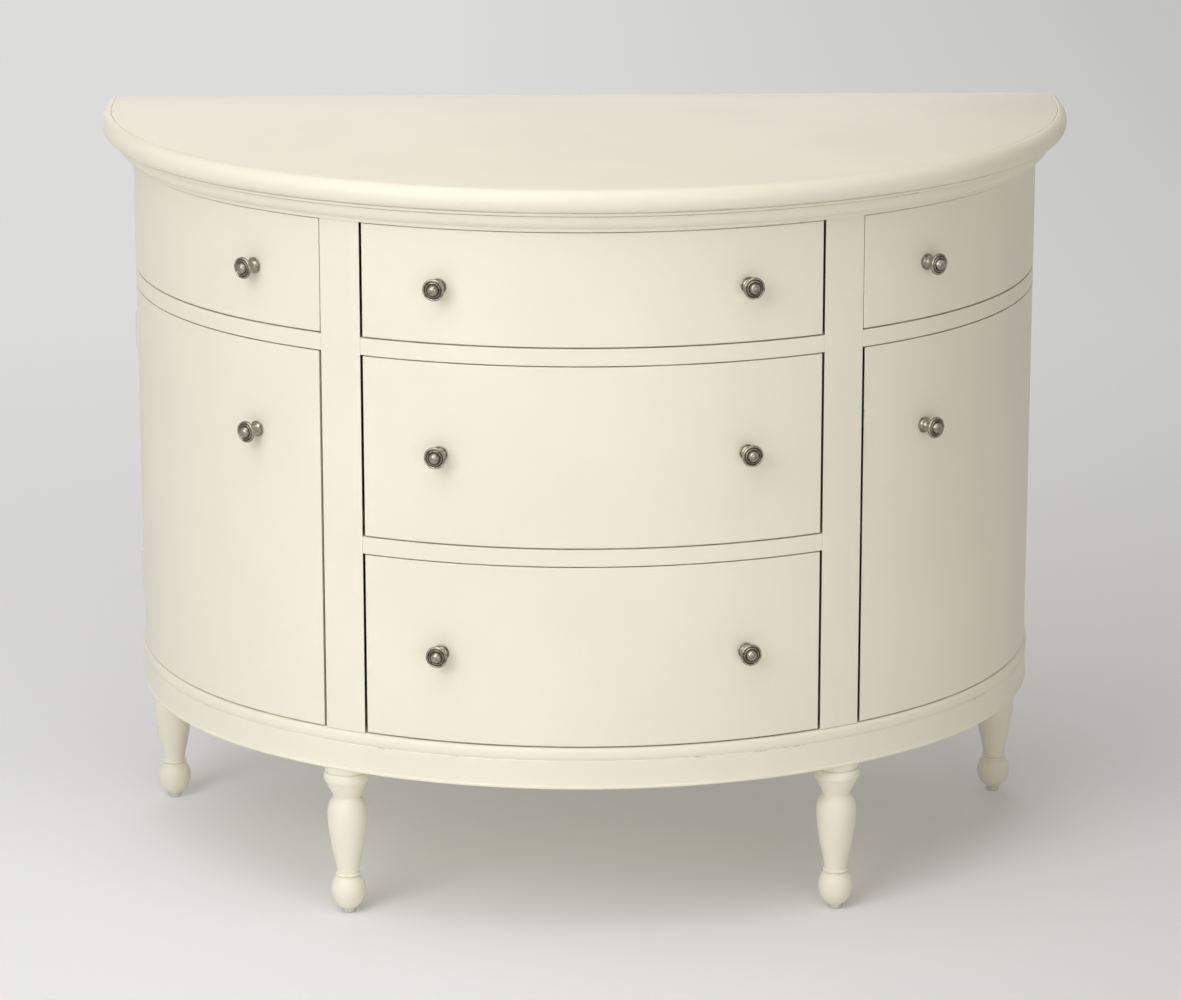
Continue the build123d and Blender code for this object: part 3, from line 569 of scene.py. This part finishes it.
def chain(points, name, closed=False):
    """A mesh of points joined by edges, as a path or a profile."""
    edges = [(i, i + 1) for i in range(len(points) - 1)]
    if closed:
        edges.append((len(points) - 1, 0))
    mesh = bpy.data.meshes.new(name)
    mesh.from_pydata([(p[0], p[1], 0.0) for p in points], edges, [])
    return object_from(mesh, name)


def group_tree(name, inputs):
    """A Geometry Nodes tree with named inputs, and the identifier of each."""
    tree = bpy.data.node_groups.new(name, "GeometryNodeTree")
    tree.interface.new_socket(name="Geometry", in_out="INPUT", socket_type="NodeSocketGeometry")
    sockets = {
        label: tree.interface.new_socket(name=label, in_out="INPUT", socket_type=kind)
        for label, kind in inputs.items()
    }
    tree.interface.new_socket(name="Geometry", in_out="OUTPUT", socket_type="NodeSocketGeometry")
    start, end = tree.nodes.new("NodeGroupInput"), tree.nodes.new("NodeGroupOutput")
    return tree, start, end, {label: socket.identifier for label, socket in sockets.items()}


def close_tree(tree, start, end, geometry):
    """End a tree in Realize Instances and Set Material."""
    real = add_node(tree, "GeometryNodeRealizeInstances")
    painted = add_node(tree, "GeometryNodeSetMaterial")
    tree.links.new(geometry, real.inputs["Geometry"])
    tree.links.new(real.outputs["Geometry"], painted.inputs["Geometry"])
    tree.links.new(start.outputs["Finish"], painted.inputs["Material"])
    tree.links.new(painted.outputs["Geometry"], end.inputs["Geometry"])


sweep_tree, sweep_start, sweep_end, sweep_inputs = group_tree(
    "profile along the plan", {"Profile": "NodeSocketObject", "Finish": "NodeSocketMaterial"}
)
path = add_node(sweep_tree, "GeometryNodeMeshToCurve")
upright = add_node(sweep_tree, "GeometryNodeSetCurveNormal", {"mode": "Z_UP"})
profile_info = add_node(sweep_tree, "GeometryNodeObjectInfo")
profile_curve = add_node(sweep_tree, "GeometryNodeMeshToCurve")
carry = add_node(sweep_tree, "GeometryNodeCurveToMesh", Fill_Caps=True)
join = sweep_tree.links.new
join(sweep_start.outputs["Geometry"], path.inputs["Mesh"])
join(path.outputs["Curve"], upright.inputs["Curve"])
join(upright.outputs["Curve"], carry.inputs["Curve"])
join(sweep_start.outputs["Profile"], profile_info.inputs["Object"])
join(profile_info.outputs["Geometry"], profile_curve.inputs["Mesh"])
join(profile_curve.outputs["Curve"], carry.inputs["Profile Curve"])
close_tree(sweep_tree, sweep_start, sweep_end, carry.outputs["Mesh"])
print("plan points", len(plan_points()), "inputs", list(sweep_inputs))

# %% [markdown]
# ## Profiles and the sweep
# A profile is a closed list of points, offset outwards from the case face and height, with short
# arcs where the router bit leaves a curve. One helper draws an arc, the other carries a profile
# round the plan and prints its box.


# %% Profile helpers
def arc(centre, radii, start, turn, steps):
    """Points of an arc or an ellipse, from start through turn, in degrees."""
    angles = [math.radians(start + turn * step / steps) for step in range(steps + 1)]
    return [(centre[0] + radii[0] * math.cos(a), centre[1] + radii[1] * math.sin(a)) for a in angles]


def merge_and_face_out(build):
    """Merge doubled points, then turn every face outwards."""
    bmesh.ops.remove_doubles(build, verts=build.verts, dist=1e-6)
    bmesh.ops.recalc_face_normals(build, faces=build.faces)


def sweep(profile, name, material, node):
    """Carry a profile of (offset, height) round the plan, as a piece that stands for a CAD node."""
    path_object = chain(plan_points(), name)
    profile_object = chain([(offset, -height) for offset, height in profile], name + "_profile", closed=True)
    modifier = path_object.modifiers.new("sweep", "NODES")
    modifier.node_group = sweep_tree
    modifier[sweep_inputs["Profile"]] = profile_object
    modifier[sweep_inputs["Finish"]] = material
    flatten(path_object)
    bpy.data.objects.remove(profile_object)
    build = bmesh.new()
    build.from_mesh(path_object.data)
    merge_and_face_out(build)
    build.to_mesh(path_object.data)
    build.free()
    piece = finish_piece(path_object, material, "case", [node], sharp_angle=35.0)
    low = [min(v.co[i] for v in piece.data.vertices) for i in range(3)]
    high = [max(v.co[i] for v in piece.data.vertices) for i in range(3)]
    print(name, "box", [round(v, 4) for v in (*low, *high)])
    return piece


print("a quarter arc in nine steps has", len(arc((0.0, 0.0), (1.0, 1.0), 0, 90, 9)), "points")

# %% [markdown]
# ## Moulded edge of the top
# From below, the edge has a small lip, a cove, a fillet, a bead and a full bullnose; a hair line
# shows where it meets the top board. It could be lofted, but the sweep keeps it true round the
# curve. At the back corners the bullnose is rounded off by pulling in its outermost points.

# %% Moulded edge of the top
TOP, EDGE_BOTTOM = 0.907, 0.907 - 0.055
NOSE_ROOT = 0.0262
cove_turns = [math.radians(angle) for angle in range(0, 91, 9)]
top_profile = [
    (-0.020, EDGE_BOTTOM), (0.004 - 0.0006, EDGE_BOTTOM), (0.004, EDGE_BOTTOM + 0.0006),
    *[(0.004 + 0.0142 * math.sin(turn), TOP - 0.050 + 0.0152 * (1 - math.cos(turn))) for turn in cove_turns],
    (0.0182, TOP - 0.0345), (0.0166, TOP - 0.0341), (0.0166, TOP - 0.0333), (0.0190, TOP - 0.0330),
    *arc((0.0222, TOP - 0.0305), (0.0030, 0.0025), -90, 180, 10),
    (NOSE_ROOT, TOP - 0.028),
    *arc((0.026, TOP - 0.014), (0.011, 0.014), -88, 174, 22),
    (0.0260, TOP - 0.00005), (0.0256, TOP - 0.0002), (0.0254, TOP - 0.0007), (0.0254, TOP - 0.018),
    (-0.020, TOP - 0.018),
]
top_edge = sweep(top_profile, "soft_top_edge_moulding", paint_level, "top_edge_moulding")
LEAST_NOSE = 0.25
for point in top_edge.data.vertices:
    proud = abs(point.co.x) - HALF_WIDTH - NOSE_ROOT
    into_end = (point.co.y - (BACK_Y - END_REACH)) / END_REACH
    if proud > 0 and into_end > 0:
        kept = max(LEAST_NOSE, math.sqrt(max(0.0, 1 - into_end ** 2)))
        point.co.x -= math.copysign(proud * (1 - kept), point.co.x)

# %% [markdown]
# ## Base moulding
# A plain band with a bead at its top and an eased foot runs round the case above the legs. It
# leans in and out by a few tenths of a millimetre, so that it takes the light as planed wood does.

# %% Base moulding
BASE_TOP, BASE_FOOT = 0.237, 0.187
base_profile = [
    (-0.020, BASE_TOP), (-0.0022, BASE_TOP), (-0.0012, BASE_TOP - 0.0003), (-0.0002, BASE_TOP - 0.0011),
    *arc((-0.0002, BASE_TOP - 0.0085), (0.0029, 0.0070), 80, -146, 16),
    (0.0017, BASE_TOP - 0.0160), (0.00165, BASE_TOP - 0.0172), (0.0018, BASE_TOP - 0.0186),
    (0.0016, BASE_TOP - 0.0240), (0.0015, BASE_FOOT + 0.0060), (0.0017, BASE_FOOT + 0.0042),
    *arc((0.0013, BASE_FOOT + 0.0020), (0.0015, 0.0020), 70, -150, 8),
    (-0.020, BASE_FOOT),
]
sweep(base_profile, "soft_apron_moulding", paint_level, "apron_moulding")

# %% [markdown]
# ## Turned legs
# A leg is turned on a lathe: a collar, a ring, a cup that narrows to a neck, a long baluster and a
# ball foot. The half outline is spun round its axis. The four legs are the same, so a second tree
# sets one turned leg on four points. The same tree later sets knobs and screws: each point carries
# the direction that the piece's own Z axis is turned to.


# %% Spinning an outline, and the placing tree
def spun(outline, name, steps):
    """A closed turned shape from (radius, height) points, its first and last on the axis."""
    build = bmesh.new()
    chain_verts = [build.verts.new((radius, 0.0, height)) for radius, height in outline]
    edges = [build.edges.new(pair) for pair in zip(chain_verts, chain_verts[1:])]
    bmesh.ops.spin(
        build, geom=chain_verts + edges, axis=(0, 0, 1), cent=(0, 0, 0), steps=steps, angle=2 * math.pi
    )
    merge_and_face_out(build)
    return mesh_object(build, name)


place_tree, place_start, place_end, place_inputs = group_tree(
    "piece on points", {"Piece": "NodeSocketObject", "Finish": "NodeSocketMaterial"}
)
piece_info = add_node(place_tree, "GeometryNodeObjectInfo", As_Instance=True)
facing = add_node(place_tree, "GeometryNodeInputNamedAttribute", {"data_type": "FLOAT_VECTOR"}, Name="facing")
aligned = add_node(place_tree, "FunctionNodeAlignRotationToVector", {"axis": "Z"})
placed = add_node(place_tree, "GeometryNodeInstanceOnPoints")
join = place_tree.links.new
join(place_start.outputs["Piece"], piece_info.inputs["Object"])
join(place_start.outputs["Geometry"], placed.inputs["Points"])
join(piece_info.outputs["Geometry"], placed.inputs["Instance"])
join(facing.outputs["Attribute"], aligned.inputs["Vector"])
join(aligned.outputs["Rotation"], placed.inputs["Rotation"])
close_tree(place_tree, place_start, place_end, placed.outputs["Instances"])


def place(template, spots, name, material, body, stands_for=(), sharp_angle=40.0):
    """Set a template on (point, facing) spots, as one piece of a body."""
    mesh = bpy.data.meshes.new(name)
    mesh.from_pydata([tuple(point) for point, _ in spots], [], [])
    directions = mesh.attributes.new("facing", "FLOAT_VECTOR", "POINT")
    directions.data.foreach_set("vector", [c for _, way in spots for c in way])
    piece = object_from(mesh, name)
    modifier = piece.modifiers.new("place", "NODES")
    modifier.node_group = place_tree
    modifier[place_inputs["Piece"]] = template
    modifier[place_inputs["Finish"]] = material
    flatten(piece)
    return finish_piece(piece, material, body, stands_for, sharp_angle)


print("nodes in the placing tree", len(place_tree.nodes))

# %% [markdown]
# ## The outline of a leg
# The outline goes from the collar down to the glide: straight lines and points where the turner's
# gouge rolls freely, arcs for the ring and the bead. The ball foot is a little longer below its
# widest place than above it, and ends on the glide.

# %% Turned legs
LEG_TOP, GLIDE_TOP = BASE_FOOT, 0.0060
collar_and_cup = [
    (0.0, LEG_TOP), (0.0260, LEG_TOP), (0.0260, 0.1796), (0.0256, 0.1791), (0.0248, 0.1789),
    (0.0248, 0.1780), *arc((0.0249, 0.1713), (0.0029, 0.0065), 88, -176, 16), (0.0247, 0.1647),
    (0.0247, 0.1640), (0.0240, 0.1622), (0.0229, 0.1597), (0.0216, 0.1569), (0.0201, 0.1540),
    (0.0187, 0.1512), (0.0175, 0.1486), (0.0168, 0.1464), (0.0166, 0.1450),
]
baluster = [
    (0.0173, 0.1441), (0.0191, 0.1421), (0.0210, 0.1392), (0.0226, 0.1353), (0.0237, 0.1303),
    (0.0240, 0.1248), (0.0238, 0.1180), (0.0233, 0.1100), (0.0225, 0.1020), (0.0214, 0.0948),
    (0.0200, 0.0860), (0.0184, 0.0776), (0.0169, 0.0702), (0.0155, 0.0640), (0.0143, 0.0580),
    (0.0137, 0.0532), (0.0136, 0.0511), (0.0136, 0.0506),
]
leg_outline = collar_and_cup + baluster + arc((0.0137, 0.0486), (0.0016, 0.0019), 84, -168, 8)
BALL_RADIUS, BALL_Z, BALL_RISE, BALL_DROP = 0.0208, 0.0290, 0.0228, 0.0258
for angle in range(50, -63, -7):
    turn = math.radians(angle)
    reach = BALL_RISE if angle > 0 else BALL_DROP
    leg_outline.append((BALL_RADIUS * math.cos(turn), BALL_Z + reach * math.sin(turn)))
leg_outline += [(0.0092, GLIDE_TOP), (0.0, GLIDE_TOP)]
leg_template = spun(leg_outline, "leg_template", 56)
LEG_PLACES = [(-0.2915, -0.1579), (0.2915, -0.1579), (-0.527, 0.2685), (0.527, 0.2685)]
UPWARDS = Vector((0.0, 0.0, 1.0))
legs = place(
    leg_template, [((x, y, 0.0), UPWARDS) for x, y in LEG_PLACES], "turned_legs", paint_upright, "case",
    ["leg_front_left", "leg_front_right", "leg_back_left", "leg_back_right"], sharp_angle=38.0,
)
bpy.data.objects.remove(leg_template)
print("turned legs", len(LEG_PLACES), "size", [round(v, 4) for v in legs.dimensions])

# %% [markdown]
# ## Pewter knobs
# Each knob has a stepped base, a waisted neck, a flared head with a rounded rim, a ring and a dome.
# The half outline is spun once, and the placing tree sets it on the drawers and doors, its axis
# along the face's normal. The spots repeat the CAD's angles on the plan curve.


# %% Knobs
def on_face(angle, height, grow):
    """A point on the case face and its outward normal, by the normal's angle from the front."""
    turn = math.radians(angle)
    way = Vector((math.sin(turn), -math.cos(turn), 0.0))
    if abs(angle) <= BLEND:
        centre, radius = Vector((0.0, FRONT_CENTRE_Y, 0.0)), FRONT_RADIUS
    else:
        centre, radius = Vector((math.copysign(SIDE_CENTRE[0], angle), SIDE_CENTRE[1], 0.0)), SIDE_RADIUS
    return centre + way * (radius + grow) + Vector((0.0, 0.0, height)), way


base_and_neck = [
    (0.0, 0.0), (0.0093, 0.0), (0.0095, 0.0003), (0.0095, 0.0016), (0.0091, 0.0020),
    (0.0081, 0.0020), (0.0079, 0.0023), (0.0077, 0.0034), (0.0071, 0.0039), (0.0056, 0.0046),
    (0.0046, 0.0062), (0.0041, 0.0082), (0.0040, 0.0100), (0.0043, 0.0118), (0.0051, 0.0138),
]
flare_and_rim = [
    (0.0066, 0.0154), (0.0084, 0.0163), (0.0104, 0.0170), (0.0121, 0.0178), (0.0129, 0.0188),
    (0.0130, 0.0199), (0.0127, 0.0209), (0.0121, 0.0216), (0.0114, 0.0218), (0.0107, 0.0215),
]
ring_and_dome = [
    (0.0102, 0.0208), (0.0099, 0.0203), (0.0096, 0.0204), (0.0094, 0.0211), (0.0089, 0.0217),
    (0.0083, 0.0218), (0.0077, 0.0214), (0.0073, 0.0208), (0.0070, 0.0208), (0.0068, 0.0214),
    (0.0064, 0.0226), (0.0057, 0.0240), (0.0047, 0.0252), (0.0034, 0.0260), (0.0018, 0.0264),
    (0.0, 0.0265),
]
knob_template = spun(base_and_neck + flare_and_rim + ring_and_dome, "knob_template", 48)
DRAWER_KNOB, SIDE_KNOB, KNOB_GAP = 17.0, 40.5, 0.00005
KNOB_HEIGHTS = {"lower": 0.347, "middle": 0.586, "upper": 0.7835}
SIDE_KNOB_HEIGHT, DOOR_KNOB_HEIGHT = KNOB_HEIGHTS["upper"], 0.587
SIDES = (("left", -1), ("right", 1))


def set_knobs(spots, name, body, node):
    """Knobs on spots of the case face, as one piece of a body that stands for a CAD node."""
    place(knob_template, spots, name, aged_pewter, body, [node])


for name, height in KNOB_HEIGHTS.items():
    spots = [on_face(angle, height, KNOB_GAP) for angle in (-DRAWER_KNOB, DRAWER_KNOB)]
    set_knobs(spots, f"pewter_knobs_{name}", f"drawer_{name}", f"drawer_knobs_{name}")
for name, side in SIDES:
    spot = on_face(side * SIDE_KNOB, SIDE_KNOB_HEIGHT, KNOB_GAP)
    set_knobs([spot], f"pewter_side_knob_{name}", f"side_drawer_{name}", f"side_drawer_knob_{name}")
    spot = on_face(side * SIDE_KNOB, DOOR_KNOB_HEIGHT, KNOB_GAP)
    set_knobs([spot], f"pewter_door_knob_{name}", f"door_{name}", f"door_knob_{name}")
bpy.data.objects.remove(knob_template)
print("right door knob stands at", [round(v, 4) for v in on_face(SIDE_KNOB, DOOR_KNOB_HEIGHT, KNOB_GAP)[0]])

# %% [markdown]
# ## Screws
# Small fasteners are seen when a door or drawer is open: three countersunk screws in each hinge
# leaf, the screw of each knob behind its front, and two screws in each catch plate. One screw head,
# a low dome with a cross cut in it by a Boolean, serves them all in three sizes.


# %% Screw heads
def screw_head(name, radius, rise):
    """A low domed head with a cross recess."""
    outline = [(0.0, -rise), (radius * 0.96, -rise), (radius, -rise * 0.6)]
    for turn in (math.radians(angle) for angle in range(0, 90, 18)):
        outline.append((radius * math.cos(turn), rise * math.sin(turn)))
    outline += [(0.0, rise)]
    head = spun(outline, name, 24)
    build = bmesh.new()
    for length, width in ((radius * 1.25, radius * 0.26), (radius * 0.26, radius * 1.25)):
        bar = Matrix.Diagonal((length, width, rise * 1.2, 1.0)) @ Matrix.Translation((0, 0, 0.75))
        bmesh.ops.create_cube(build, size=1.0, matrix=bar)
    cutter = mesh_object(build, name + "_cutter")
    cut = head.modifiers.new("cross", "BOOLEAN")
    cut.operation = "DIFFERENCE"
    cut.solver = "EXACT"
    cut.use_self = True
    cut.object = cutter
    flatten(head)
    bpy.data.objects.remove(cutter)
    return head


def set_screws(template, spots, name, body):
    """Screw heads on spots, as one piece of a body."""
    place(template, spots, name, screw_steel, body)


hinge_screw = screw_head("hinge_screw_template", radius=0.0027, rise=0.00016)
print("faces of a screw head", len(hinge_screw.data.polygons))

# %% Screws of the hinges
HINGE_HEIGHTS = (0.311, 0.621)
HINGE_SCREWS = ((-0.018, 0.0075), (0.0, 0.0110), (0.018, 0.0075))
CASE_LEAF_Y, DOOR_LEAF_Y = BACK_Y - 0.0510 + 0.00004, BACK_Y - 0.0514 - 0.00004
FORWARDS, BACKWARDS = Vector((0, -1, 0)), Vector((0, 1, 0))
case_spots = []
for name, side in SIDES:
    door_spots = []
    for middle in HINGE_HEIGHTS:
        for offset, inset in HINGE_SCREWS:
            x = side * (HALF_WIDTH - inset)
            case_spots.append(((x, CASE_LEAF_Y, middle + offset), FORWARDS))
            door_spots.append(((x, DOOR_LEAF_Y, middle + offset), BACKWARDS))
    set_screws(hinge_screw, door_spots, f"hinge_screws_door_{name}", f"door_{name}")
set_screws(hinge_screw, case_spots, "hinge_screws_case", "case")
bpy.data.objects.remove(hinge_screw)
print("hinge screws", len(case_spots) * 2)

# %% Screws of the knobs
FRONT_THICKNESS, KNOB_SCREW_LIFT = 0.0200, 0.0009
knob_screw = screw_head("knob_screw_template", radius=0.0042, rise=0.0011)


def behind_front(angle, height):
    """The place and facing of a knob's screw, on the back of its front."""
    point, way = on_face(angle, height, -FRONT_THICKNESS)
    return point - way * KNOB_SCREW_LIFT, -way


for name, height in KNOB_HEIGHTS.items():
    spots = [behind_front(angle, height) for angle in (-DRAWER_KNOB, DRAWER_KNOB)]
    set_screws(knob_screw, spots, f"knob_screws_{name}", f"drawer_{name}")
for name, side in SIDES:
    for height, body in ((SIDE_KNOB_HEIGHT, f"side_drawer_{name}"), (DOOR_KNOB_HEIGHT, f"door_{name}")):
        set_screws(knob_screw, [behind_front(side * SIDE_KNOB, height)], f"knob_screw_{body}", body)
bpy.data.objects.remove(knob_screw)
print("knob screws", 2 * len(KNOB_HEIGHTS) + 2 * len(SIDES))

# %% [markdown]
# ## Catch plates
# Each door meets its magnetic catch with a thin steel plate, screwed to its back near the free
# edge, under the shelf. The plate is a rounded rectangle given a thickness, with its edges broken
# by a bevel, and its axes are turned so that it lies against the curved door.


# %% Catch plates on the doors
def rounded_plate(name, width, height, thickness, corner):
    """A thin plate with rounded corners, flat on z = 0."""
    build = bmesh.new()
    corners = []
    for cx, cy, first in ((1, 1, 0), (-1, 1, 90), (-1, -1, 180), (1, -1, 270)):
        centre = (cx * (width / 2 - corner), cy * (height / 2 - corner))
        corners += arc(centre, (corner, corner), first, 90, 6)
    face = build.faces.new([build.verts.new((x, y, 0.0)) for x, y in corners])
    lifted = bmesh.ops.extrude_face_region(build, geom=[face])
    lifted_verts = [part for part in lifted["geom"] if isinstance(part, bmesh.types.BMVert)]
    bmesh.ops.translate(build, verts=lifted_verts, vec=(0, 0, thickness))
    bmesh.ops.recalc_face_normals(build, faces=build.faces)
    return mesh_object(build, name)


CATCH_ANGLE, CATCH_Z = 37.5, 0.452
PLATE_SEAT, PLATE_THICKNESS = FRONT_THICKNESS + 0.0002, 0.0011
PLATE_SCREW_SPREAD, PLATE_SCREW_LIFT = 0.0115, 0.00115
plate_screw = screw_head("plate_screw_template", radius=0.0026, rise=0.0003)
for name, side in SIDES:
    point, way = on_face(side * CATCH_ANGLE, CATCH_Z, -PLATE_SEAT)
    across = Vector((way.y, -way.x, 0.0))
    plate = rounded_plate(f"catch_plate_{name}", 0.034, 0.013, PLATE_THICKNESS, corner=0.003)
    axes = Matrix((across, UPWARDS, -way)).transposed().to_4x4()
    plate.data.transform(Matrix.Translation(point) @ axes)
    softening = plate.modifiers.new("rounded edges", "BEVEL")
    softening.width = 0.0003
    softening.segments = 2
    flatten(plate)
    finish_piece(plate, nickel, f"door_{name}")
    seat = point - way * PLATE_SCREW_LIFT
    spots = [(seat + across * sign * PLATE_SCREW_SPREAD, -way) for sign in (-1, 1)]
    set_screws(plate_screw, spots, f"catch_plate_screws_{name}", f"door_{name}")
bpy.data.objects.remove(plate_screw)
print("catch plates at height", CATCH_Z)

# %% [markdown]
# ## Pins round the back
# The plywood back is held by flat-headed pins along its edges and into the two partitions, about a
# hand apart. The spots are worked out from the back's own box, so they follow the board.


# %% Back pins
def evenly(low, high, spacing):
    """Even places between two ends, about spacing apart."""
    count = max(1, round((high - low) / spacing))
    return [low + (high - low) * i / count for i in range(count + 1)]


PIN_INSET, PIN_SPACING, PIN_RISE, PARTITION_X = 0.012, 0.105, 0.00045, 0.277
back_low, back_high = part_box("back_panel")
columns = evenly(back_low.x + PIN_INSET, back_high.x - PIN_INSET, PIN_SPACING)
rows = evenly(back_low.z + PIN_INSET, back_high.z - PIN_INSET, PIN_SPACING)
pin_places = [(x, z) for x in columns for z in (rows[0], rows[-1])]
pin_places += [(x, z) for x in (columns[0], columns[-1], -PARTITION_X, PARTITION_X) for z in rows[1:-1]]
pin_spots = [((x, BACK_Y - PIN_RISE, z), BACKWARDS) for x, z in pin_places]
pin_outline = [(0.0, -0.0004), (0.0022, -0.0004), (0.0023, 0.0001), (0.0020, 0.0003), (0.0, PIN_RISE)]
pin_template = spun(pin_outline, "pin_template", 16)
set_screws(pin_template, pin_spots, "back_pins", "case")
bpy.data.objects.remove(pin_template)
print("back pins", len(pin_spots))

# %% [markdown]
# ## The studio
# The piece stands on an open pale floor, so it can be looked at from every side. Close to the piece
# the floor is lit by the lamps and carries its shadow, lifted a little by painted light: a faint glow
# that only the camera and the reflections see. Further off that glow grows into a paper tone, which
# adds no light to the piece. In the photograph the left side is lighter than the right, and the paper
# follows that with painted shade: both its colour and its glowing tone grow darker towards the right.


# %% Floor
FLOOR_REACH = 40.0
TONE_PAINTED_LIGHT_LEFT, TONE_PAINTED_SHADE_RIGHT, FAR_TONE = (0.715, 0.715, 0.705), (0.54, 0.545, 0.525), (0.64, 0.64, 0.625)
PAPER_PAINTED_LIGHT_LEFT, PAPER_PAINTED_SHADE_RIGHT = (0.93, 0.94, 0.955), (0.80, 0.795, 0.79)
FADE_FROM, FADE_TO = 0.45, 3.0

floor_build = bmesh.new()
bmesh.ops.create_grid(floor_build, x_segments=1, y_segments=1, size=FLOOR_REACH)
studio_floor = mesh_object(floor_build, "studio_floor")
paper, tree, shader = new_material("studio_paper", roughness=0.9)
join = tree.links.new
place_on_floor = stretched_coords(tree, EVEN)
sideways = add_node(tree, "ShaderNodeSeparateXYZ")
distance = add_node(tree, "ShaderNodeVectorMath", {"operation": "LENGTH"})
join(place_on_floor, sideways.inputs["Vector"])
join(place_on_floor, distance.inputs[0])
# Painted shade: the paper's colour grows darker towards the right, standing in for light falling off from the
# left.
paper_with_painted_falloff = blend_colours(tree, remap(tree, sideways.outputs["X"], -0.9, 1.1), PAPER_PAINTED_LIGHT_LEFT, PAPER_PAINTED_SHADE_RIGHT)
join(paper_with_painted_falloff, shader.inputs["Base Color"])
# Painted shade: the glowing tone is darker towards the right, standing in for light falling off from the
# left.
tone = blend_colours(tree, remap(tree, sideways.outputs["X"], -0.2, 1.6), TONE_PAINTED_LIGHT_LEFT, TONE_PAINTED_SHADE_RIGHT)
tone = blend_colours(tree, remap(tree, distance.outputs["Value"], 8.0, 20.0), tone, FAR_TONE)
glowing_paper_tone = add_node(tree, "ShaderNodeEmission", Strength=1.0)
join(tone, glowing_paper_tone.inputs["Color"])
floor_ray = add_node(tree, "ShaderNodeLightPath")
seen = add_node(tree, "ShaderNodeMath", {"operation": "MAXIMUM"})
join(floor_ray.outputs["Is Camera Ray"], seen.inputs[0])
join(floor_ray.outputs["Is Glossy Ray"], seen.inputs[1])
# Painted light: even beside the piece 8 % of the glow is mixed in, lifting the floor's shadow for the camera
# and reflections.
paper_glow_share = remap(tree, distance.outputs["Value"], FADE_FROM, FADE_TO, 0.08, 1.0)
fade = add_node(tree, "ShaderNodeMixShader")
join(multiply(tree, seen.outputs["Value"], paper_glow_share), fade.inputs["Fac"])
join(shader.outputs["BSDF"], fade.inputs[1])
join(glowing_paper_tone.outputs["Emission"], fade.inputs[2])
join(fade.outputs["Shader"], tree.nodes["Material Output"].inputs["Surface"])
studio_floor.data.materials.append(paper)
print("floor", 2 * FLOOR_REACH, "m wide")

# %% [markdown]
# ## Lamps and surround
# A large soft key lamp stands at the front left, a second soft one hangs over the piece and lights
# its top, a weak one at the right front fills the shadow side, and a low one lights the back. The
# surround is even and warm. For reflections it is brighter, as the white walls of a studio are, so
# that the metal reads as metal. The Standard view shows colours about as they are written.


# %% Lamps
def soft_lamp(name, place_at, aim, size, power, colour):
    """A square area lamp aimed at a point."""
    data = bpy.data.lights.new(name, "AREA")
    data.shape = "SQUARE"
    data.size = size
    data.energy = power
    data.color = colour
    lamp = bpy.data.objects.new(name, data)
    bpy.context.scene.collection.objects.link(lamp)
    lamp.location = place_at
    lamp.rotation_mode = "QUATERNION"
    lamp.rotation_quaternion = (Vector(aim) - Vector(place_at)).to_track_quat("-Z", "Y")
    return lamp


COOL, NEUTRAL, WARM = (0.965, 0.98, 1.0), (1.0, 1.0, 1.0), (1.0, 0.965, 0.91)
lamps = [
    soft_lamp("key_lamp", (-2.1, -3.0, 2.2), (0.0, 0.0, 0.5), 2.4, 61.0, COOL),
    soft_lamp("overhead_lamp", (-0.6, -1.3, 3.7), (0.0, -0.1, 0.9), 2.8, 47.0, NEUTRAL),
    soft_lamp("fill_lamp", (1.7, -4.3, 1.1), (0.0, 0.0, 0.2), 2.0, 25.0, WARM),
    soft_lamp("back_lamp", (-0.35, 4.4, 1.3), (0.0, 0.3, 0.5), 3.2, 27.0, NEUTRAL),
]
print("lamps", len(lamps), "power", sum(lamp.data.energy for lamp in lamps))

# %% Surround
LIGHTING, REFLECTED = 0.34, 0.66
world = bpy.data.worlds.new("studio_surround")
bpy.context.scene.world = world
world.use_nodes = True
sky = world.node_tree
join = sky.links.new
surround = sky.nodes["Background"]
surround.inputs["Color"].default_value = (1.0, 0.965, 0.905, 1.0)
world_ray = add_node(sky, "ShaderNodeLightPath")
strength = remap(sky, world_ray.outputs["Is Glossy Ray"], 0.0, 1.0, LIGHTING, REFLECTED)
join(strength, surround.inputs["Strength"])
open_paper = add_node(sky, "ShaderNodeBackground", Color=(*FAR_TONE, 1.0), Strength=1.0)
chosen = add_node(sky, "ShaderNodeMixShader")
join(world_ray.outputs["Is Camera Ray"], chosen.inputs["Fac"])
join(surround.outputs["Background"], chosen.inputs[1])
join(open_paper.outputs["Background"], chosen.inputs[2])
join(chosen.outputs["Shader"], sky.nodes["World Output"].inputs["Surface"])
bpy.context.scene.view_settings.view_transform = "Standard"
print("surround", LIGHTING, "for light and", REFLECTED, "in reflections")
